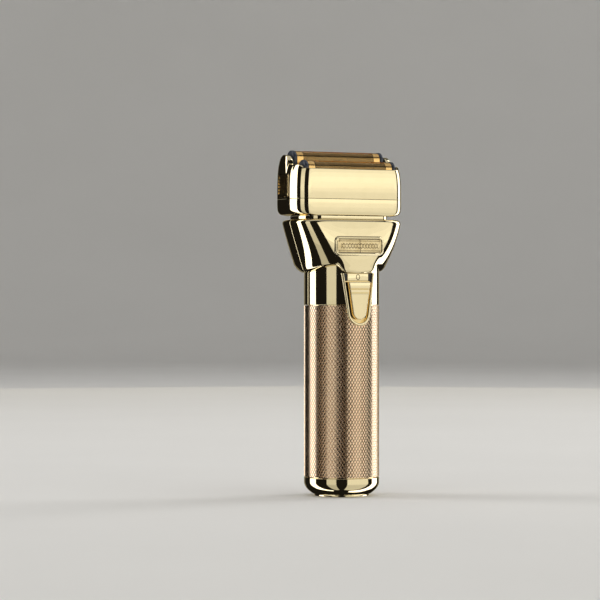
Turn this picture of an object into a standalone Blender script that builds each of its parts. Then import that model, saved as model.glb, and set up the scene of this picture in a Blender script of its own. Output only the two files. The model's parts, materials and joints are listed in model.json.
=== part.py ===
"""Foil shaver: knurled tubular handle with a removable battery pack, flared
two-shell housing with a counter-moving cutter drive, and a lift-off head with
two floating foils.  Origin at the middle of the foot, +Z up, front is -Y."""
import math

import bmesh
import bpy
from mathutils import Matrix, Vector

MM = 0.001

# ---------------------------------------------------------------- dimensions
GRIP_R = 17.9            # outer radius of the knurled grip
GRIP_BORE = 16.4         # inner radius of the grip tube
CAP_H = 9.0              # height of the end cap band
FOOT_R = 12.7            # radius of the flat foot under the end cap
BAY_R = 11.5             # opening that the battery pack slides through
GRIP_TOP = 90.4
COLLAR_Z = 90.7          # bottom of the plain collar
SPIGOT_R = 16.05
SHOULDER_Z = 131.0
NECK_W, NECK_D = 22.9, 11.3
HEAD_W, HEAD_DF, HEAD_DR = 29.1, 12.0, 13.5
SEAM_Z = 140.7
FOIL_R = 3.7             # outer radius of each foil arch
FOIL_L = 44.4
FRONT_Y, FRONT_TOP = -5.7, 158.8
REAR_Y, REAR_TOP = 6.4, 163.8
STROKE = 1.2             # half stroke of each cutter
BATTERY_R = 11.0
MOTOR_R = 10.2
GAP = 0.3

for ob in list(bpy.data.objects):
    bpy.data.objects.remove(ob, do_unlink=True)

parts = bpy.data.collections.new("foil_shaver")
bpy.context.scene.collection.children.link(parts)
guides = bpy.data.collections.new("cutters")
bpy.context.scene.collection.children.link(guides)


# ---------------------------------------------------------------- helpers
def material(name, colour, rough, metal):
    m = bpy.data.materials.new(name)
    m.use_nodes = True
    b = m.node_tree.nodes["Principled BSDF"]
    b.inputs["Base Color"].default_value = (*colour, 1.0)
    b.inputs["Roughness"].default_value = rough
    b.inputs["Metallic"].default_value = metal
    m.diffuse_color = (*colour, 1.0)
    return m


GOLD = ((0.83, 0.66, 0.36), 0.12, 1.0)
SATIN = ((0.78, 0.58, 0.42), 0.35, 1.0)
FOIL = ((0.80, 0.52, 0.20), 0.25, 1.0)
BLACK = ((0.02, 0.02, 0.025), 0.45, 0.0)
STEEL = ((0.62, 0.62, 0.63), 0.3, 1.0)
BRASS = ((0.72, 0.52, 0.2), 0.3, 1.0)
WHITE = ((0.75, 0.75, 0.72), 0.5, 0.0)
GREEN = ((0.03, 0.2, 0.08), 0.5, 0.0)
BLUE = ((0.02, 0.12, 0.35), 0.35, 0.0)
RUBBER = ((0.03, 0.03, 0.03), 0.8, 0.0)


def finish(ob, look, origin=(0.0, 0.0, 0.0)):
    """Gives the object its material, its origin and its place."""
    ob.data.materials.clear()
    ob.data.materials.append(material(ob.name + "_material", *look))
    o = Vector(origin) * MM
    ob.data.transform(Matrix.Translation(-o))
    ob.location = o
    return ob


def object_from(bm, name, look, origin=(0, 0, 0), smooth=True, coll=parts):
    bmesh.ops.scale(bm, vec=(MM, MM, MM), verts=bm.verts)
    bmesh.ops.recalc_face_normals(bm, faces=bm.faces)
    mesh = bpy.data.meshes.new(name)
    bm.to_mesh(mesh)
    bm.free()
    ob = bpy.data.objects.new(name, mesh)
    coll.objects.link(ob)
    if smooth:
        mesh.shade_smooth()
        mesh.set_sharp_from_angle(angle=math.radians(35))
    if look is not None:
        finish(ob, look, origin)
    return ob


def turned(name, profile, look, steps=64, centre=(0.0, 0.0), closed=True, coll=parts):
    """A turned solid from a profile in mm: (radius, height) pairs, down the
    outer side first.  A closed profile makes a ring, an open one ends on the
    axis at both ends."""
    bm = bmesh.new()
    verts = [bm.verts.new((r * MM, 0, z * MM)) for r, z in profile]
    last = len(verts) if closed else len(verts) - 1
    for i in range(last):
        bm.edges.new((verts[i], verts[(i + 1) % len(verts)]))
    mesh = bpy.data.meshes.new(name)
    bm.to_mesh(mesh)
    bm.free()
    ob = bpy.data.objects.new(name, mesh)
    coll.objects.link(ob)
    ob.location = (centre[0] * MM, centre[1] * MM, 0)
    s = ob.modifiers.new("turn", "SCREW")
    s.steps = steps
    s.render_steps = steps
    s.use_merge_vertices = True
    s.merge_threshold = 0.00001
    s.use_smooth_shade = True
    if look is not None:
        mesh.materials.append(material(name + "_material", *look))
    return ob


def block(name, lo, hi, look, bevel=0.0, segments=2, coll=parts):
    """A box between two corners in mm, with rounded edges."""
    c = [(a + b) / 2 for a, b in zip(lo, hi)]
    bpy.ops.mesh.primitive_cube_add(size=1.0)
    ob = bpy.context.active_object
    ob.name = name
    ob.data.name = name
    for v in ob.data.vertices:
        v.co = [v.co[i] * (hi[i] - lo[i]) * MM for i in range(3)]
    for col in list(ob.users_collection):
        col.objects.unlink(ob)
    coll.objects.link(ob)
    ob.location = [v * MM for v in c]
    if bevel:
        b = ob.modifiers.new("edges", "BEVEL")
        b.width = bevel * MM
        b.segments = segments
        b.limit_method = "ANGLE"
    if look is not None:
        ob.data.materials.append(material(name + "_material", *look))
    return ob


def prism(name, outline, axis, a, b, look, origin=(0, 0, 0), coll=parts):
    """A closed outline in mm pushed along an axis from a to b."""
    bm = bmesh.new()

    def at(p, d):
        u, v = p
        return {"x": (d, u, v), "y": (u, d, v), "z": (u, v, d)}[axis]

    face = bm.faces.new([bm.verts.new(at(p, a)) for p in outline])
    out = bmesh.ops.extrude_face_region(bm, geom=[face])
    moved = [e for e in out["geom"] if isinstance(e, bmesh.types.BMVert)]
    step = {"x": (b - a, 0, 0), "y": (0, b - a, 0), "z": (0, 0, b - a)}[axis]
    bmesh.ops.translate(bm, vec=step, verts=moved)
    return object_from(bm, name, look, origin, coll=coll)


def loft(name, rings, look, caps=True, coll=parts):
    """A skin through closed rings of equal count.  With caps False the last
    ring joins the first, which makes a closed tube wall."""
    bm = bmesh.new()
    rows = [[bm.verts.new(p) for p in ring] for ring in rings]
    n = len(rows[0])
    pairs = list(zip(rows, rows[1:]))
    if not caps:
        pairs.append((rows[-1], rows[0]))
    for lower, upper in pairs:
        for i in range(n):
            j = (i + 1) % n
            bm.faces.new((lower[i], lower[j], upper[j], upper[i]))
    if caps:
        bm.faces.new(rows[0][::-1])
        bm.faces.new(rows[-1])
    return object_from(bm, name, look, coll=coll)


def carve(ob, cutter, operation="DIFFERENCE"):
    cutter.hide_render = True
    cutter.display_type = "WIRE"
    m = ob.modifiers.new(operation.lower(), "BOOLEAN")
    m.operation = operation
    m.solver = "EXACT"
    m.object = cutter
    return ob


def coil(name, radius, wire, z0, z1, turns, centre, look):
    """A compression spring as a poly curve with a round bevel."""
    data = bpy.data.curves.new(name, "CURVE")
    data.dimensions = "3D"
    data.bevel_depth = wire * MM
    data.bevel_resolution = 0
    data.use_fill_caps = True
    n = int(turns * 10) + 1
    s = data.splines.new("POLY")
    s.points.add(n - 1)
    for i in range(n):
        t = i / (n - 1)
        a = 2 * math.pi * turns * t
        s.points[i].co = (radius * math.cos(a) * MM, radius * math.sin(a) * MM,
                          (z0 + (z1 - z0) * t) * MM, 1)
    ob = bpy.data.objects.new(name, data)
    parts.objects.link(ob)
    ob.location = (centre[0] * MM, centre[1] * MM, 0)
    data.materials.append(material(name + "_material", *look))
    return ob


def rounded(w, df, dr, r, z, arc=4, side=0):
    """A rounded rectangle ring: half width w, front depth df, rear depth dr,
    corner radius r, with extra points along the two short sides."""
    pts = []
    corners = [(w - r, -df + r, -90), (w - r, dr - r, 0),
               (-w + r, dr - r, 90), (-w + r, -df + r, 180)]
    for k, (cx, cy, a0) in enumerate(corners):
        for i in range(arc + 1):
            a = math.radians(a0 + 90 * i / arc)
            pts.append((cx + r * math.cos(a), cy + r * math.sin(a)))
        if side and k in (0, 2):
            nx, ny = corners[k + 1][:2]
            x = cx + r if k == 0 else cx - r
            for i in range(1, side + 1):
                t = i / (side + 1)
                pts.append((x, cy + (ny - cy) * t))
    height = z if callable(z) else (lambda x, y: z)
    return [(x, y, height(x, y)) for x, y in pts]


def smooth01(t):
    t = max(0.0, min(1.0, t))
    return t * t * (3 - 2 * t)


# ---------------------------------------------------------------- handle
end_cap = turned("end_cap", [
    (16.05, 13.5), (16.05, 12.3), (15.3, 12.3), (15.3, 10.9), (16.05, 10.9), (16.05, 9.0),
    (17.6, 9.0), (GRIP_R, 8.7), (GRIP_R, 4.6), (17.5, 3.9), (13.1, 0.25), (FOOT_R, 0.0),
    (BAY_R, 0.0), (BAY_R, 8.4), (14.4, 8.4), (14.4, 13.5)], GOLD, steps=48)
cap_seal = turned("cap_seal", [
    (15.9 + 0.36 * math.cos(math.radians(a)), 11.6 - 0.36 * math.sin(math.radians(a)))
    for a in range(0, 360, 72)], RUBBER, steps=32)
grip_sleeve = turned("grip_sleeve", [
    (GRIP_R, GRIP_TOP), (GRIP_R, CAP_H + GAP), (GRIP_BORE, CAP_H + GAP), (GRIP_BORE, GRIP_TOP)],
    SATIN)
battery_liner = turned("battery_liner", [
    (12.9, 74.0), (12.9, 16.5), (15.9, 16.5), (15.9, 14.0), (14.0, 14.0), (14.0, 8.9),
    (11.7, 8.9), (11.7, 74.0)], BLACK, steps=32)
battery_case = turned("battery_case", [
    (BATTERY_R, 71.0), (BATTERY_R, 2.6), (9.75, 2.6), (9.75, 71.0)], BLACK, steps=48)
battery_cell = turned("battery_cell", [
    (0, 69.0), (9.0, 69.0), (9.2, 68.6), (9.2, 4.6), (9.0, 4.2), (0, 4.2)], BLUE,
    steps=32, closed=False)
battery_light_ring = turned("battery_light_ring", [
    (BATTERY_R, 2.3), (BATTERY_R, 0.9), (10.6, 0.6), (8.6, 0.6), (8.6, 2.3)], WHITE, steps=32)
battery_end_plug = turned("battery_end_plug", [
    (0, 3.9), (9.4, 3.9), (9.4, 2.6), (8.3, 2.6), (8.3, 0.9), (7.9, 0.6), (0, 0.6)], BLACK,
    steps=24, closed=False)
battery_top_plug = turned("battery_top_plug", [
    (BATTERY_R, 73.0), (BATTERY_R, 71.3), (9.4, 71.3), (9.4, 69.3), (3.3, 69.3), (3.3, 73.0)],
    BLACK, steps=24)
battery_pole = turned("battery_pole", [
    (0, 73.3), (2.6, 73.3), (3.0, 72.9), (3.0, 69.6), (0, 69.6)], BRASS, steps=24, closed=False)
contact_carrier = turned("contact_carrier", [
    (15.9, 80.0), (15.9, 74.3), (11.9, 74.3), (11.9, 76.8), (3.9, 76.8), (3.9, 80.0)], BLACK,
    steps=32)
centre_contact = turned("centre_contact", [
    (0, 80.6), (3.4, 80.6), (3.4, 76.8), (2.2, 76.4), (1.5, 73.7), (0, 73.6)], BRASS,
    steps=16, closed=False)
outer_contact = turned("outer_contact", [
    (10.4, 76.5), (10.4, 75.9), (9.2, 73.3), (8.6, 73.3), (9.0, 75.9), (7.6, 76.5)], BRASS,
    steps=24)

# ---------------------------------------------------------------- housing shells
ARC = 20                 # steps around each half shell


def lip_height(x, y):
    """Height of the flare's lower lip around the collar: lowest at the sides
    and rear, raised at the front quarters, and down again under the tongue."""
    a = math.degrees(math.atan2(abs(x), -y))
    if a < 36:
        return 105.9 + 3.3 * smooth01((a - 21) / 15)
    return 109.2 - 3.1 * smooth01((a - 36) / 54)


def oval(w, df, dr, n, t):
    c, s = math.cos(t), math.sin(t)
    if s > 0 and n > 2.0:
        n += 0.35 * max(0.0, 4.0 - n)      # the rear half is squarer
    x = w * math.copysign(abs(c) ** (2 / n), c)
    y = (dr if s > 0 else df) * math.copysign(abs(s) ** (2 / n), s)
    return x, y


# outer skin levels: half width, front depth, rear depth, squareness, height,
# share of the lip's rise and fall that the level follows
OUTER = [
    (SPIGOT_R, SPIGOT_R, SPIGOT_R, 2.0, 84.6, 0.0),
    (SPIGOT_R, SPIGOT_R, SPIGOT_R, 2.0, COLLAR_Z, 0.0),
    (GRIP_R, GRIP_R, GRIP_R, 2.0, COLLAR_Z, 0.0),
    (GRIP_R, GRIP_R, GRIP_R, 2.0, 98.0, 0.0),
    (GRIP_R, GRIP_R, GRIP_R, 2.0, 106.1, 1.0),
    (19.8, 18.25, 18.9, 2.15, 106.9, 1.0),
    (20.9, 18.4, 19.0, 2.3, 108.4, 0.8),
    (22.4, 18.7, 18.6, 2.7, 113.0, 0.4),
    (24.4, 18.6, 17.8, 3.2, 119.0, 0.1),
    (26.3, 17.5, 17.0, 3.7, 125.0, 0.0),
    (27.6, 16.3, 16.3, 4.0, 129.4, 0.0),
    (27.3, 15.9, 15.9, 4.0, 130.5, 0.0),
    (26.1, 15.0, 15.0, 4.0, SHOULDER_Z, 0.0),
    (20.6, 9.6, 9.6, 4.0, SHOULDER_Z, 0.0),
]
INNER = [
    (14.6, 14.6, 14.6, 2.0, 84.6, 0.0),
    (14.6, 14.6, 14.6, 2.0, 89.0, 0.0),
    (16.0, 16.0, 16.0, 2.0, 92.5, 0.0),
    (16.1, 16.1, 16.1, 2.0, 98.0, 0.0),
    (16.2, 16.2, 16.2, 2.0, 106.1, 0.6),
    (16.4, 16.3, 16.6, 2.1, 107.2, 0.6),
    (17.9, 16.6, 17.0, 2.3, 108.7, 0.6),
    (20.5, 17.0, 17.0, 2.7, 113.6, 0.3),
    (22.4, 16.9, 16.2, 3.2, 119.3, 0.1),
    (24.4, 15.8, 15.4, 3.7, 125.0, 0.0),
    (25.4, 14.7, 14.7, 4.0, 128.4, 0.0),
    (25.1, 14.2, 14.2, 4.0, 129.1, 0.0),
    (23.8, 13.2, 13.2, 4.0, 129.4, 0.0),
    (20.6, 9.6, 9.6, 4.0, 129.4, 0.0),
]


def shell_half(name, side_of_split, look=GOLD):
    """One half of the housing, -1 for the front and 1 for the rear: C-shaped
    rings lofted up through the levels, cut short of the parting plane."""
    t0, t1 = (math.pi, 2 * math.pi) if side_of_split < 0 else (0.0, math.pi)
    bm = bmesh.new()
    rows = []
    for out, inn in zip(OUTER, INNER):
        row = []
        for level in (out, inn):
            w, df, dr, n, z, lip = level
            side = []
            for i in range(ARC + 1):
                x, y = oval(w, df, dr, n, t0 + (t1 - t0) * i / ARC)
                if i in (0, ARC):
                    x, y = math.copysign(w, x), side_of_split * GAP / 2
                side.append(bm.verts.new((x, y, z + lip * (lip_height(x, y) - 106.1))))
            row.append(side)
        rows.append(row)
    for (lo_out, lo_in), (up_out, up_in) in zip(rows, rows[1:]):
        for i in range(ARC):
            bm.faces.new((lo_out[i], lo_out[i + 1], up_out[i + 1], up_out[i]))
            bm.faces.new((lo_in[i + 1], lo_in[i], up_in[i], up_in[i + 1]))
        for i in (0, ARC):
            bm.faces.new((lo_out[i], up_out[i], up_in[i], lo_in[i]))
    for out, inn in (rows[0], rows[-1]):
        for i in range(ARC):
            bm.faces.new((out[i], out[i + 1], inn[i + 1], inn[i]))
    return object_from(bm, name, look)


front_housing = shell_half("front_housing", -1)
rear_housing = shell_half("rear_housing", 1)


# ---------------------------------------------------------------- power switch
def slot_outline(w_top, w_low, z_top, z_bend, r, grow=0.0, arc=10):
    """A tapered U in the XZ plane, open side up: straight edges that close in
    downwards and a round lower end."""
    pts = [(w_top + grow, z_top + grow)]
    zc = z_bend
    for i in range(arc + 1):
        a = math.radians(-8 - 164 * i / arc)
        pts.append(((r + grow) * math.cos(a), zc + (r + grow) * math.sin(a)))
    pts.append((-w_top - grow, z_top + grow))
    return pts[::-1]


RIM = slot_outline(8.8, 0, 105.6, 87.0, 6.0)
RIM_CUT = slot_outline(8.8, 0, 105.6, 87.0, 6.0, GAP)
CHANNEL = slot_outline(7.6, 0, 106.6, 87.0, 4.7)
carve(front_housing, prism("bezel_seat_in_housing", RIM_CUT, "y", -24.0, -10.0, None, coll=guides))
carve(grip_sleeve, prism("bezel_seat_in_grip", RIM_CUT, "y", -24.0, -10.0, None, coll=guides))
switch_bezel = prism("switch_bezel", RIM, "y", -22.0, -15.0, GOLD)
carve(switch_bezel, turned("bezel_round", [(0, 110), (18.75, 110), (18.75, 78), (0, 78)], None,
                           steps=96, closed=False, coll=guides), "INTERSECT")
carve(switch_bezel, prism("bezel_channel", CHANNEL, "y", -24.0, -15.9, None, coll=guides))
carve(switch_bezel, block("bezel_slot", (-1.7, -17, 90.0), (1.7, -14, 101.4), None, coll=guides))
SLIDER = slot_outline(5.75, 0, 101.5, 87.3, 3.5)
power_slider = prism("power_slider", SLIDER, "y", -18.9, -16.9, GOLD, origin=(0, -17.9, 92))
slider_edges = power_slider.modifiers.new("edges", "BEVEL")
slider_edges.width = 0.35 * MM
slider_edges.segments = 2
slider_edges.limit_method = "ANGLE"
carve(power_slider, block("stem_body", (-1.2, -17.4, 93.6), (1.2, -13.9, 95.6), None,
                          coll=guides), "UNION")
carve(power_slider, block("ridge_groove", (-9, -19.6, 98.0), (9, -18.5, 98.7), None, coll=guides))
off_marker = prism("off_marker", [(-5.5, 102.1), (5.5, 102.1), (5.6, 105.4), (-5.6, 105.4)],
                   "y", -16.5, -16.1, GOLD)
slide_switch = block("slide_switch", (-3.4, -14.8, 91.6), (3.4, -13.0, 101.2), BLACK, 0.15)
carve(slide_switch, block("switch_slot", (-1.6, -15.4, 93.0), (1.6, -13.6, 100.2), None,
                          coll=guides))
circuit_board = block("circuit_board", (-6.6, -12.7, 86.0), (6.6, -11.7, 112.0), GREEN)

# ---------------------------------------------------------------- badge and rear pad
def front_surface(x, z):
    """Depth of the housing's front face at a point, on the flared part."""
    for a, b in zip(OUTER[6:], OUTER[7:]):
        if z <= b[4]:
            t = (z - a[4]) / (b[4] - a[4])
            w, df, n = (a[i] + (b[i] - a[i]) * t for i in (0, 1, 3))
            return -df * (1 - (abs(x) / w) ** n) ** (1 / n)
    return -NECK_D


BADGE_Z = 118.4


def badge_ring(w, h, r, proud):
    """A rounded rectangle that lies on the front face, stood off by a depth."""
    ring = rounded(w, h, h, r, 0.0, 3)
    middle = front_surface(0.0, BADGE_Z)
    return [(x, 0.5 * (middle + front_surface(x, BADGE_Z)) - proud, BADGE_Z + v)
            for x, v, _ in ring]


badge_frame = loft("badge_frame", [
    badge_ring(12.9, 4.4, 1.8, 0.4), badge_ring(12.9, 4.4, 1.8, 1.0),
    badge_ring(11.7, 3.3, 1.1, 1.0), badge_ring(11.7, 3.3, 1.1, 0.4)], GOLD, caps=False)
badge_plate = loft("badge_plate", [
    badge_ring(11.4, 3.0, 0.8, 0.4), badge_ring(11.4, 3.0, 0.8, 0.8)], GOLD)


def pad_ring(w, z0, z1, y_of_z, arc=4):
    pts = [(p[0], p[1] + (z0 + z1) / 2) for p in rounded(w, (z1 - z0) / 2, (z1 - z0) / 2, 3.0, 0.0, arc)]
    return [(x, y_of_z(z), z) for x, z in pts]


def rear_y(z):
    """Depth of the housing's rear face at a height on its middle."""
    table = [(l[4], l[2]) for l in OUTER[5:11]]
    for (za, ya), (zb, yb) in zip(table, table[1:]):
        if z <= zb:
            return ya + (yb - ya) * (z - za) / (zb - za)
    return table[-1][1]


rear_pad = loft("rear_pad", [
    pad_ring(11.5, 110.5, 127.5, lambda z: rear_y(z) + 0.35),
    pad_ring(11.5, 110.5, 127.5, lambda z: rear_y(z) + 0.9),
    pad_ring(10.8, 111.2, 126.8, lambda z: rear_y(z) + 1.3)], RUBBER)

# ---------------------------------------------------------------- motor
motor_can = turned("motor_can", [
    (2.9, 119.2), (2.9, 118.2), (9.7, 118.2), (MOTOR_R, 117.7), (MOTOR_R, 91.0),
    (9.6, 91.0), (9.6, 117.4), (1.5, 117.4), (1.5, 119.2)], STEEL, steps=28)
motor_end_bell = turned("motor_end_bell", [
    (9.2, 92.4), (9.2, 90.7), (MOTOR_R, 90.7), (MOTOR_R, 88.6), (3.6, 88.6), (3.6, 87.4),
    (1.5, 87.4), (1.5, 92.4)], BLACK, steps=24)
motor_magnet = turned("motor_magnet", [
    (9.3, 114.0), (9.3, 95.0), (7.9, 95.0), (7.9, 114.0)], BLACK, steps=24)
motor_armature = turned("motor_armature", [
    (7.4, 112.5), (7.4, 97.0), (3.0, 97.0), (3.0, 94.0), (1.3, 94.0), (1.3, 112.5)], STEEL,
    steps=20)
motor_shaft = turned("motor_shaft", [
    (0, 121.2), (0.95, 121.2), (0.95, 87.0), (0, 87.0)], STEEL, steps=12, closed=False)
motor_bracket = turned("motor_bracket", [
    (15.2, 120.0), (15.2, 118.5), (3.3, 118.5), (3.3, 120.0)], STEEL, steps=32)


def screw(name, x, y, z_head, head_r, head_h, shank_r, length):
    return turned(name, [(0, z_head), (head_r * 0.75, z_head), (head_r, z_head - head_h * 0.4),
                         (head_r, z_head - head_h), (shank_r, z_head - head_h),
                         (shank_r, z_head - head_h - length), (0, z_head - head_h - length)],
                  STEEL, steps=12, centre=(x, y), closed=False)


for k, x in enumerate((-6.6, 6.6), 1):
    hole = turned(f"bracket_hole_{k}", [(0, 121), (1.15, 121), (1.15, 115), (0, 115)], None,
                  steps=16, centre=(x, 0), closed=False, coll=guides)
    carve(motor_bracket, hole)
    carve(motor_can, hole)
    screw(f"motor_screw_{k}", x, 0.0, 121.2, 1.6, 0.9, 0.85, 3.2)


def circle(cx, r, z, n=14):
    return [(cx + r * math.cos(2 * math.pi * i / n), r * math.sin(2 * math.pi * i / n), z)
            for i in range(n)]


eccentric = loft("eccentric", [
    circle(0, 2.8, 120.4), circle(0, 2.8, 121.9), circle(STROKE, 1.4, 121.9),
    circle(STROKE, 1.4, 124.1), circle(0, 2.8, 124.1), circle(0, 2.8, 124.7),
    circle(-STROKE, 1.4, 124.7), circle(-STROKE, 1.4, 126.9)], BRASS)
carve(eccentric, turned("shaft_bore", [(0, 121.5), (1.2, 121.5), (1.2, 119), (0, 119)], None,
                        steps=16, closed=False, coll=guides))

# ---------------------------------------------------------------- drive bridges
SLOT_X, SLOT_Y = 3.95, 3.1     # yoke opening: clear of the pins at any stroke and angle
POST_F, POST_R = -6.6, 6.9


def bridge(name, z0, post_y, flange_z, tip_z, notch):
    plate = block(name, (-8.5, -8.6, z0), (8.5, 8.9, z0 + 1.6), WHITE)
    carve(plate, block(name + "_yoke", (-SLOT_X, -SLOT_Y, z0 - 1), (SLOT_X, SLOT_Y, z0 + 3), None,
                       coll=guides))
    if notch:
        carve(plate, block(name + "_notch", (-4.4, -10, z0 - 1), (4.4, -4.7, z0 + 3), None,
                           coll=guides))
    post = turned(name + "_post", [
        (0, tip_z), (1.5, tip_z), (1.5, flange_z), (3.3, flange_z), (3.3, flange_z - 0.9),
        (1.5, flange_z - 0.9), (1.5, z0 + 0.8), (0, z0 + 0.8)], None, steps=16,
        centre=(0, post_y), closed=False, coll=guides)
    carve(plate, post, "UNION")
    return plate


front_bridge = bridge("front_bridge", 122.2, POST_F, 143.0, 149.0, False)
rear_bridge = bridge("rear_bridge", 124.9, POST_R, 148.0, 154.0, True)
drive_guide = block("drive_guide", (-12.6, -10.8, 121.2), (12.6, 11.1, 127.6), BLACK, 0.4)
carve(drive_guide, block("guide_hollow", (-10.9, -8.9, 120), (10.9, 9.2, 129), None, coll=guides))

# ---------------------------------------------------------------- head base
def nose(ring, start=-0.4, amount=0.00078):
    """Draws the sides of a ring in towards its front."""
    return [(x * (1 - amount * (y - start) ** 2) if y < start else x, y, z) for x, y, z in ring]


neck_ring = loft("neck_ring", [
    nose(rounded(NECK_W, NECK_D, NECK_D, 3.2, 131.3), 2.0, 0.00115),
    nose(rounded(NECK_W, NECK_D, NECK_D, 3.2, 132.4), 2.0, 0.00115),
    rounded(19.5, 8.9, 9.6, 2.5, 132.4), rounded(19.5, 8.9, 9.6, 2.5, 131.3)], GOLD, caps=False)


def floor_height(x, y):
    """The underside falls away towards the neck at its two ends only."""
    return 133.1 - 0.3 * min(1.0, (abs(x) / 23.4) ** 6)


head_base = loft("head_base", [
    nose(rounded(24.4, 11.6, 11.9, 3.6, floor_height)),
    nose(rounded(27.9, 11.7, 12.6, 3.8, 133.6)),
    nose(rounded(28.8, 12.0, 13.4, 4.0, 134.8)),
    nose(rounded(HEAD_W, HEAD_DF, HEAD_DR, 4.0, 137.5)),
    nose(rounded(HEAD_W, HEAD_DF, HEAD_DR, 4.0, SEAM_Z - 0.15)),
    rounded(26.3, 10.5, 12.0, 2.6, SEAM_Z - 0.15),
    rounded(26.2, 10.4, 11.9, 2.6, 135.3)], GOLD)
seal_plate = loft("seal_plate", [
    rounded(24.6, 9.6, 10.9, 2.0, 135.6), rounded(24.6, 9.6, 10.9, 2.0, 136.8)], RUBBER)
for k, (y, r) in enumerate(((POST_F, 2.1), (POST_R, 2.1)), 1):
    outline = [(p[0], p[1] + y) for p in rounded(3.6, r, r, 1.9, 0.0)]
    slot = prism(f"post_slot_{k}", outline, "z", 130.0, 138.0, None, coll=guides)
    carve(head_base, slot)
    carve(seal_plate, slot)
for k, x in enumerate((-16.5, 16.5), 1):
    hole = turned(f"head_screw_hole_{k}", [(0, 140), (1.4, 140), (1.4, 126), (0, 126)], None,
                  steps=16, centre=(x, 0.6), closed=False, coll=guides)
    carve(head_base, hole)
    recess = turned(f"head_screw_recess_{k}", [(0, 140), (2.6, 140), (2.6, 135.5), (0, 135.5)],
                    None, steps=16, centre=(x, 0.6), closed=False, coll=guides)
    carve(seal_plate, recess)
    screw(f"head_screw_{k}", x, 0.6, 137.0, 2.1, 1.3, 1.05, 5.6)

# ---------------------------------------------------------------- lift-off foil frame
def frame_top(x, y):
    """Top edge of the foil frame: a straight slope up to the rear, with two
    humps on each side wall that cover the ends of the foils."""
    base = 154.7 + 0.2 * (y + 12.0)
    if abs(x) < 23.5:
        return base
    top = base
    for yc, crest in ((FRONT_Y, FRONT_TOP - 2.1), (REAR_Y, REAR_TOP - 2.0)):
        d = 5.0 ** 2 - (y - yc) ** 2
        if d > 0:
            top = max(top, crest - 5.0 + math.sqrt(d))
    return top


SIDE = 15


def frame_level(w, df, dr, r, z, share):
    """A ring of the frame whose height blends from level to the top edge."""
    def height(x, y):
        return z + share * (frame_top(x, y) - z)
    return rounded(w, df, dr, r, height, 3, SIDE)


foil_frame = loft("foil_frame", [
    nose(frame_level(HEAD_W, HEAD_DF, HEAD_DR, 4.0, SEAM_Z + 0.15, 0.0)),
    nose(frame_level(29.05, 12.0, 13.5, 4.0, 147.0, 0.0)),
    nose(frame_level(28.6, 11.95, 13.45, 3.9, 147.0, 0.62)),
    nose(frame_level(27.6, 11.85, 13.3, 3.6, 147.0, 1.0)),
    frame_level(24.9, 10.6, 12.1, 2.6, 147.0, 1.0),
    frame_level(25.3, 10.6, 12.1, 2.6, 147.0, 0.6),
    frame_level(25.4, 10.6, 12.1, 2.6, SEAM_Z + 0.15, 0.0)], GOLD, caps=False)

BUTTON_Y0, BUTTON_Y1 = -1.4, 9.0
for side, s in (("left", -1), ("right", 1)):
    xs = sorted((s * 24.0, s * 30.0))
    carve(foil_frame, block(f"button_window_{side}", (xs[0], BUTTON_Y0 - GAP, 141.9 - GAP),
                            (xs[1], BUTTON_Y1 + GAP, 152.4 + GAP), None, coll=guides))
    outline = [(25.6, 141.9), (29.2, 141.9), (29.35, 142.4)]
    for k in range(6):
        z = 143.0 + k * 1.45
        outline += [(29.4, z), (29.05, z + 0.55), (29.05, z + 0.9)]
    outline += [(29.1, 151.9), (28.6, 152.4), (25.6, 152.4), (25.6, 144.8), (24.1, 144.4),
                (24.1, 137.6), (24.7, 137.0), (24.9, 137.9), (24.9, 143.0), (25.6, 143.0)]
    outline = [(s * a, b) for a, b in outline]
    prism(f"release_button_{side}", outline, "y", BUTTON_Y0, BUTTON_Y1, GOLD,
          origin=(s * 27.0, 3.8, 147.0))

# ---------------------------------------------------------------- foils and cutters
def arch(yc, zc, r, leg, n=12):
    pts = [(yc - r, leg)]
    pts += [(yc - r * math.cos(math.pi * i / n), zc + r * math.sin(math.pi * i / n))
            for i in range(n + 1)]
    pts.append((yc + r, leg))
    return pts


HALF = FOIL_L / 2
for row, yc, crest, post_y in (("front", FRONT_Y, FRONT_TOP, POST_F),
                               ("rear", REAR_Y, REAR_TOP, POST_R)):
    zc = crest - FOIL_R
    leg = zc - 2.9
    outer = arch(yc, zc, FOIL_R, leg)
    inner = arch(yc, zc, FOIL_R - 0.4, leg)
    prism(f"{row}_foil", outer + inner[::-1], "x", -HALF, HALF, FOIL, origin=(0, yc, crest))
    for side, s in (("left", -1), ("right", 1)):
        xs = (s * (HALF + 0.3), s * (HALF + 2.0))
        prism(f"{row}_foil_end_{side}", arch(yc, zc, 3.9, leg), "x", min(xs), max(xs), BLACK,
              origin=(s * 23.3, yc, zc))
    prism(f"{row}_cutter", arch(yc, zc, 3.0, zc - 3.2, 10), "x", -20.3, 20.3, STEEL,
          origin=(0, yc, zc))
    holder_top = zc - 3.5
    holder = block(f"{row}_cutter_holder", (-12.0, min(yc, post_y) - 2.6, holder_top - 3.2),
                   (12.0, max(yc, post_y) + 2.6, holder_top), BLACK, 0.3)
    carve(holder, turned(f"{row}_socket", [(0, holder_top - 1.2), (1.8, holder_top - 1.2),
                                           (1.8, holder_top - 6), (0, holder_top - 6)], None,
                         steps=16, centre=(0, post_y), closed=False, coll=guides))
    flange = 143.0 if row == "front" else 148.0
    coil(f"{row}_cutter_spring", 2.45, 0.28, flange + 0.6, holder_top - 3.8, 3.5,
         (0, post_y), STEEL)
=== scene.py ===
"""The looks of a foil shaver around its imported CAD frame: knurled grip, chromed
housing, badge, slide switch and perforated foils, with node-based materials."""
import json
import math

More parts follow.
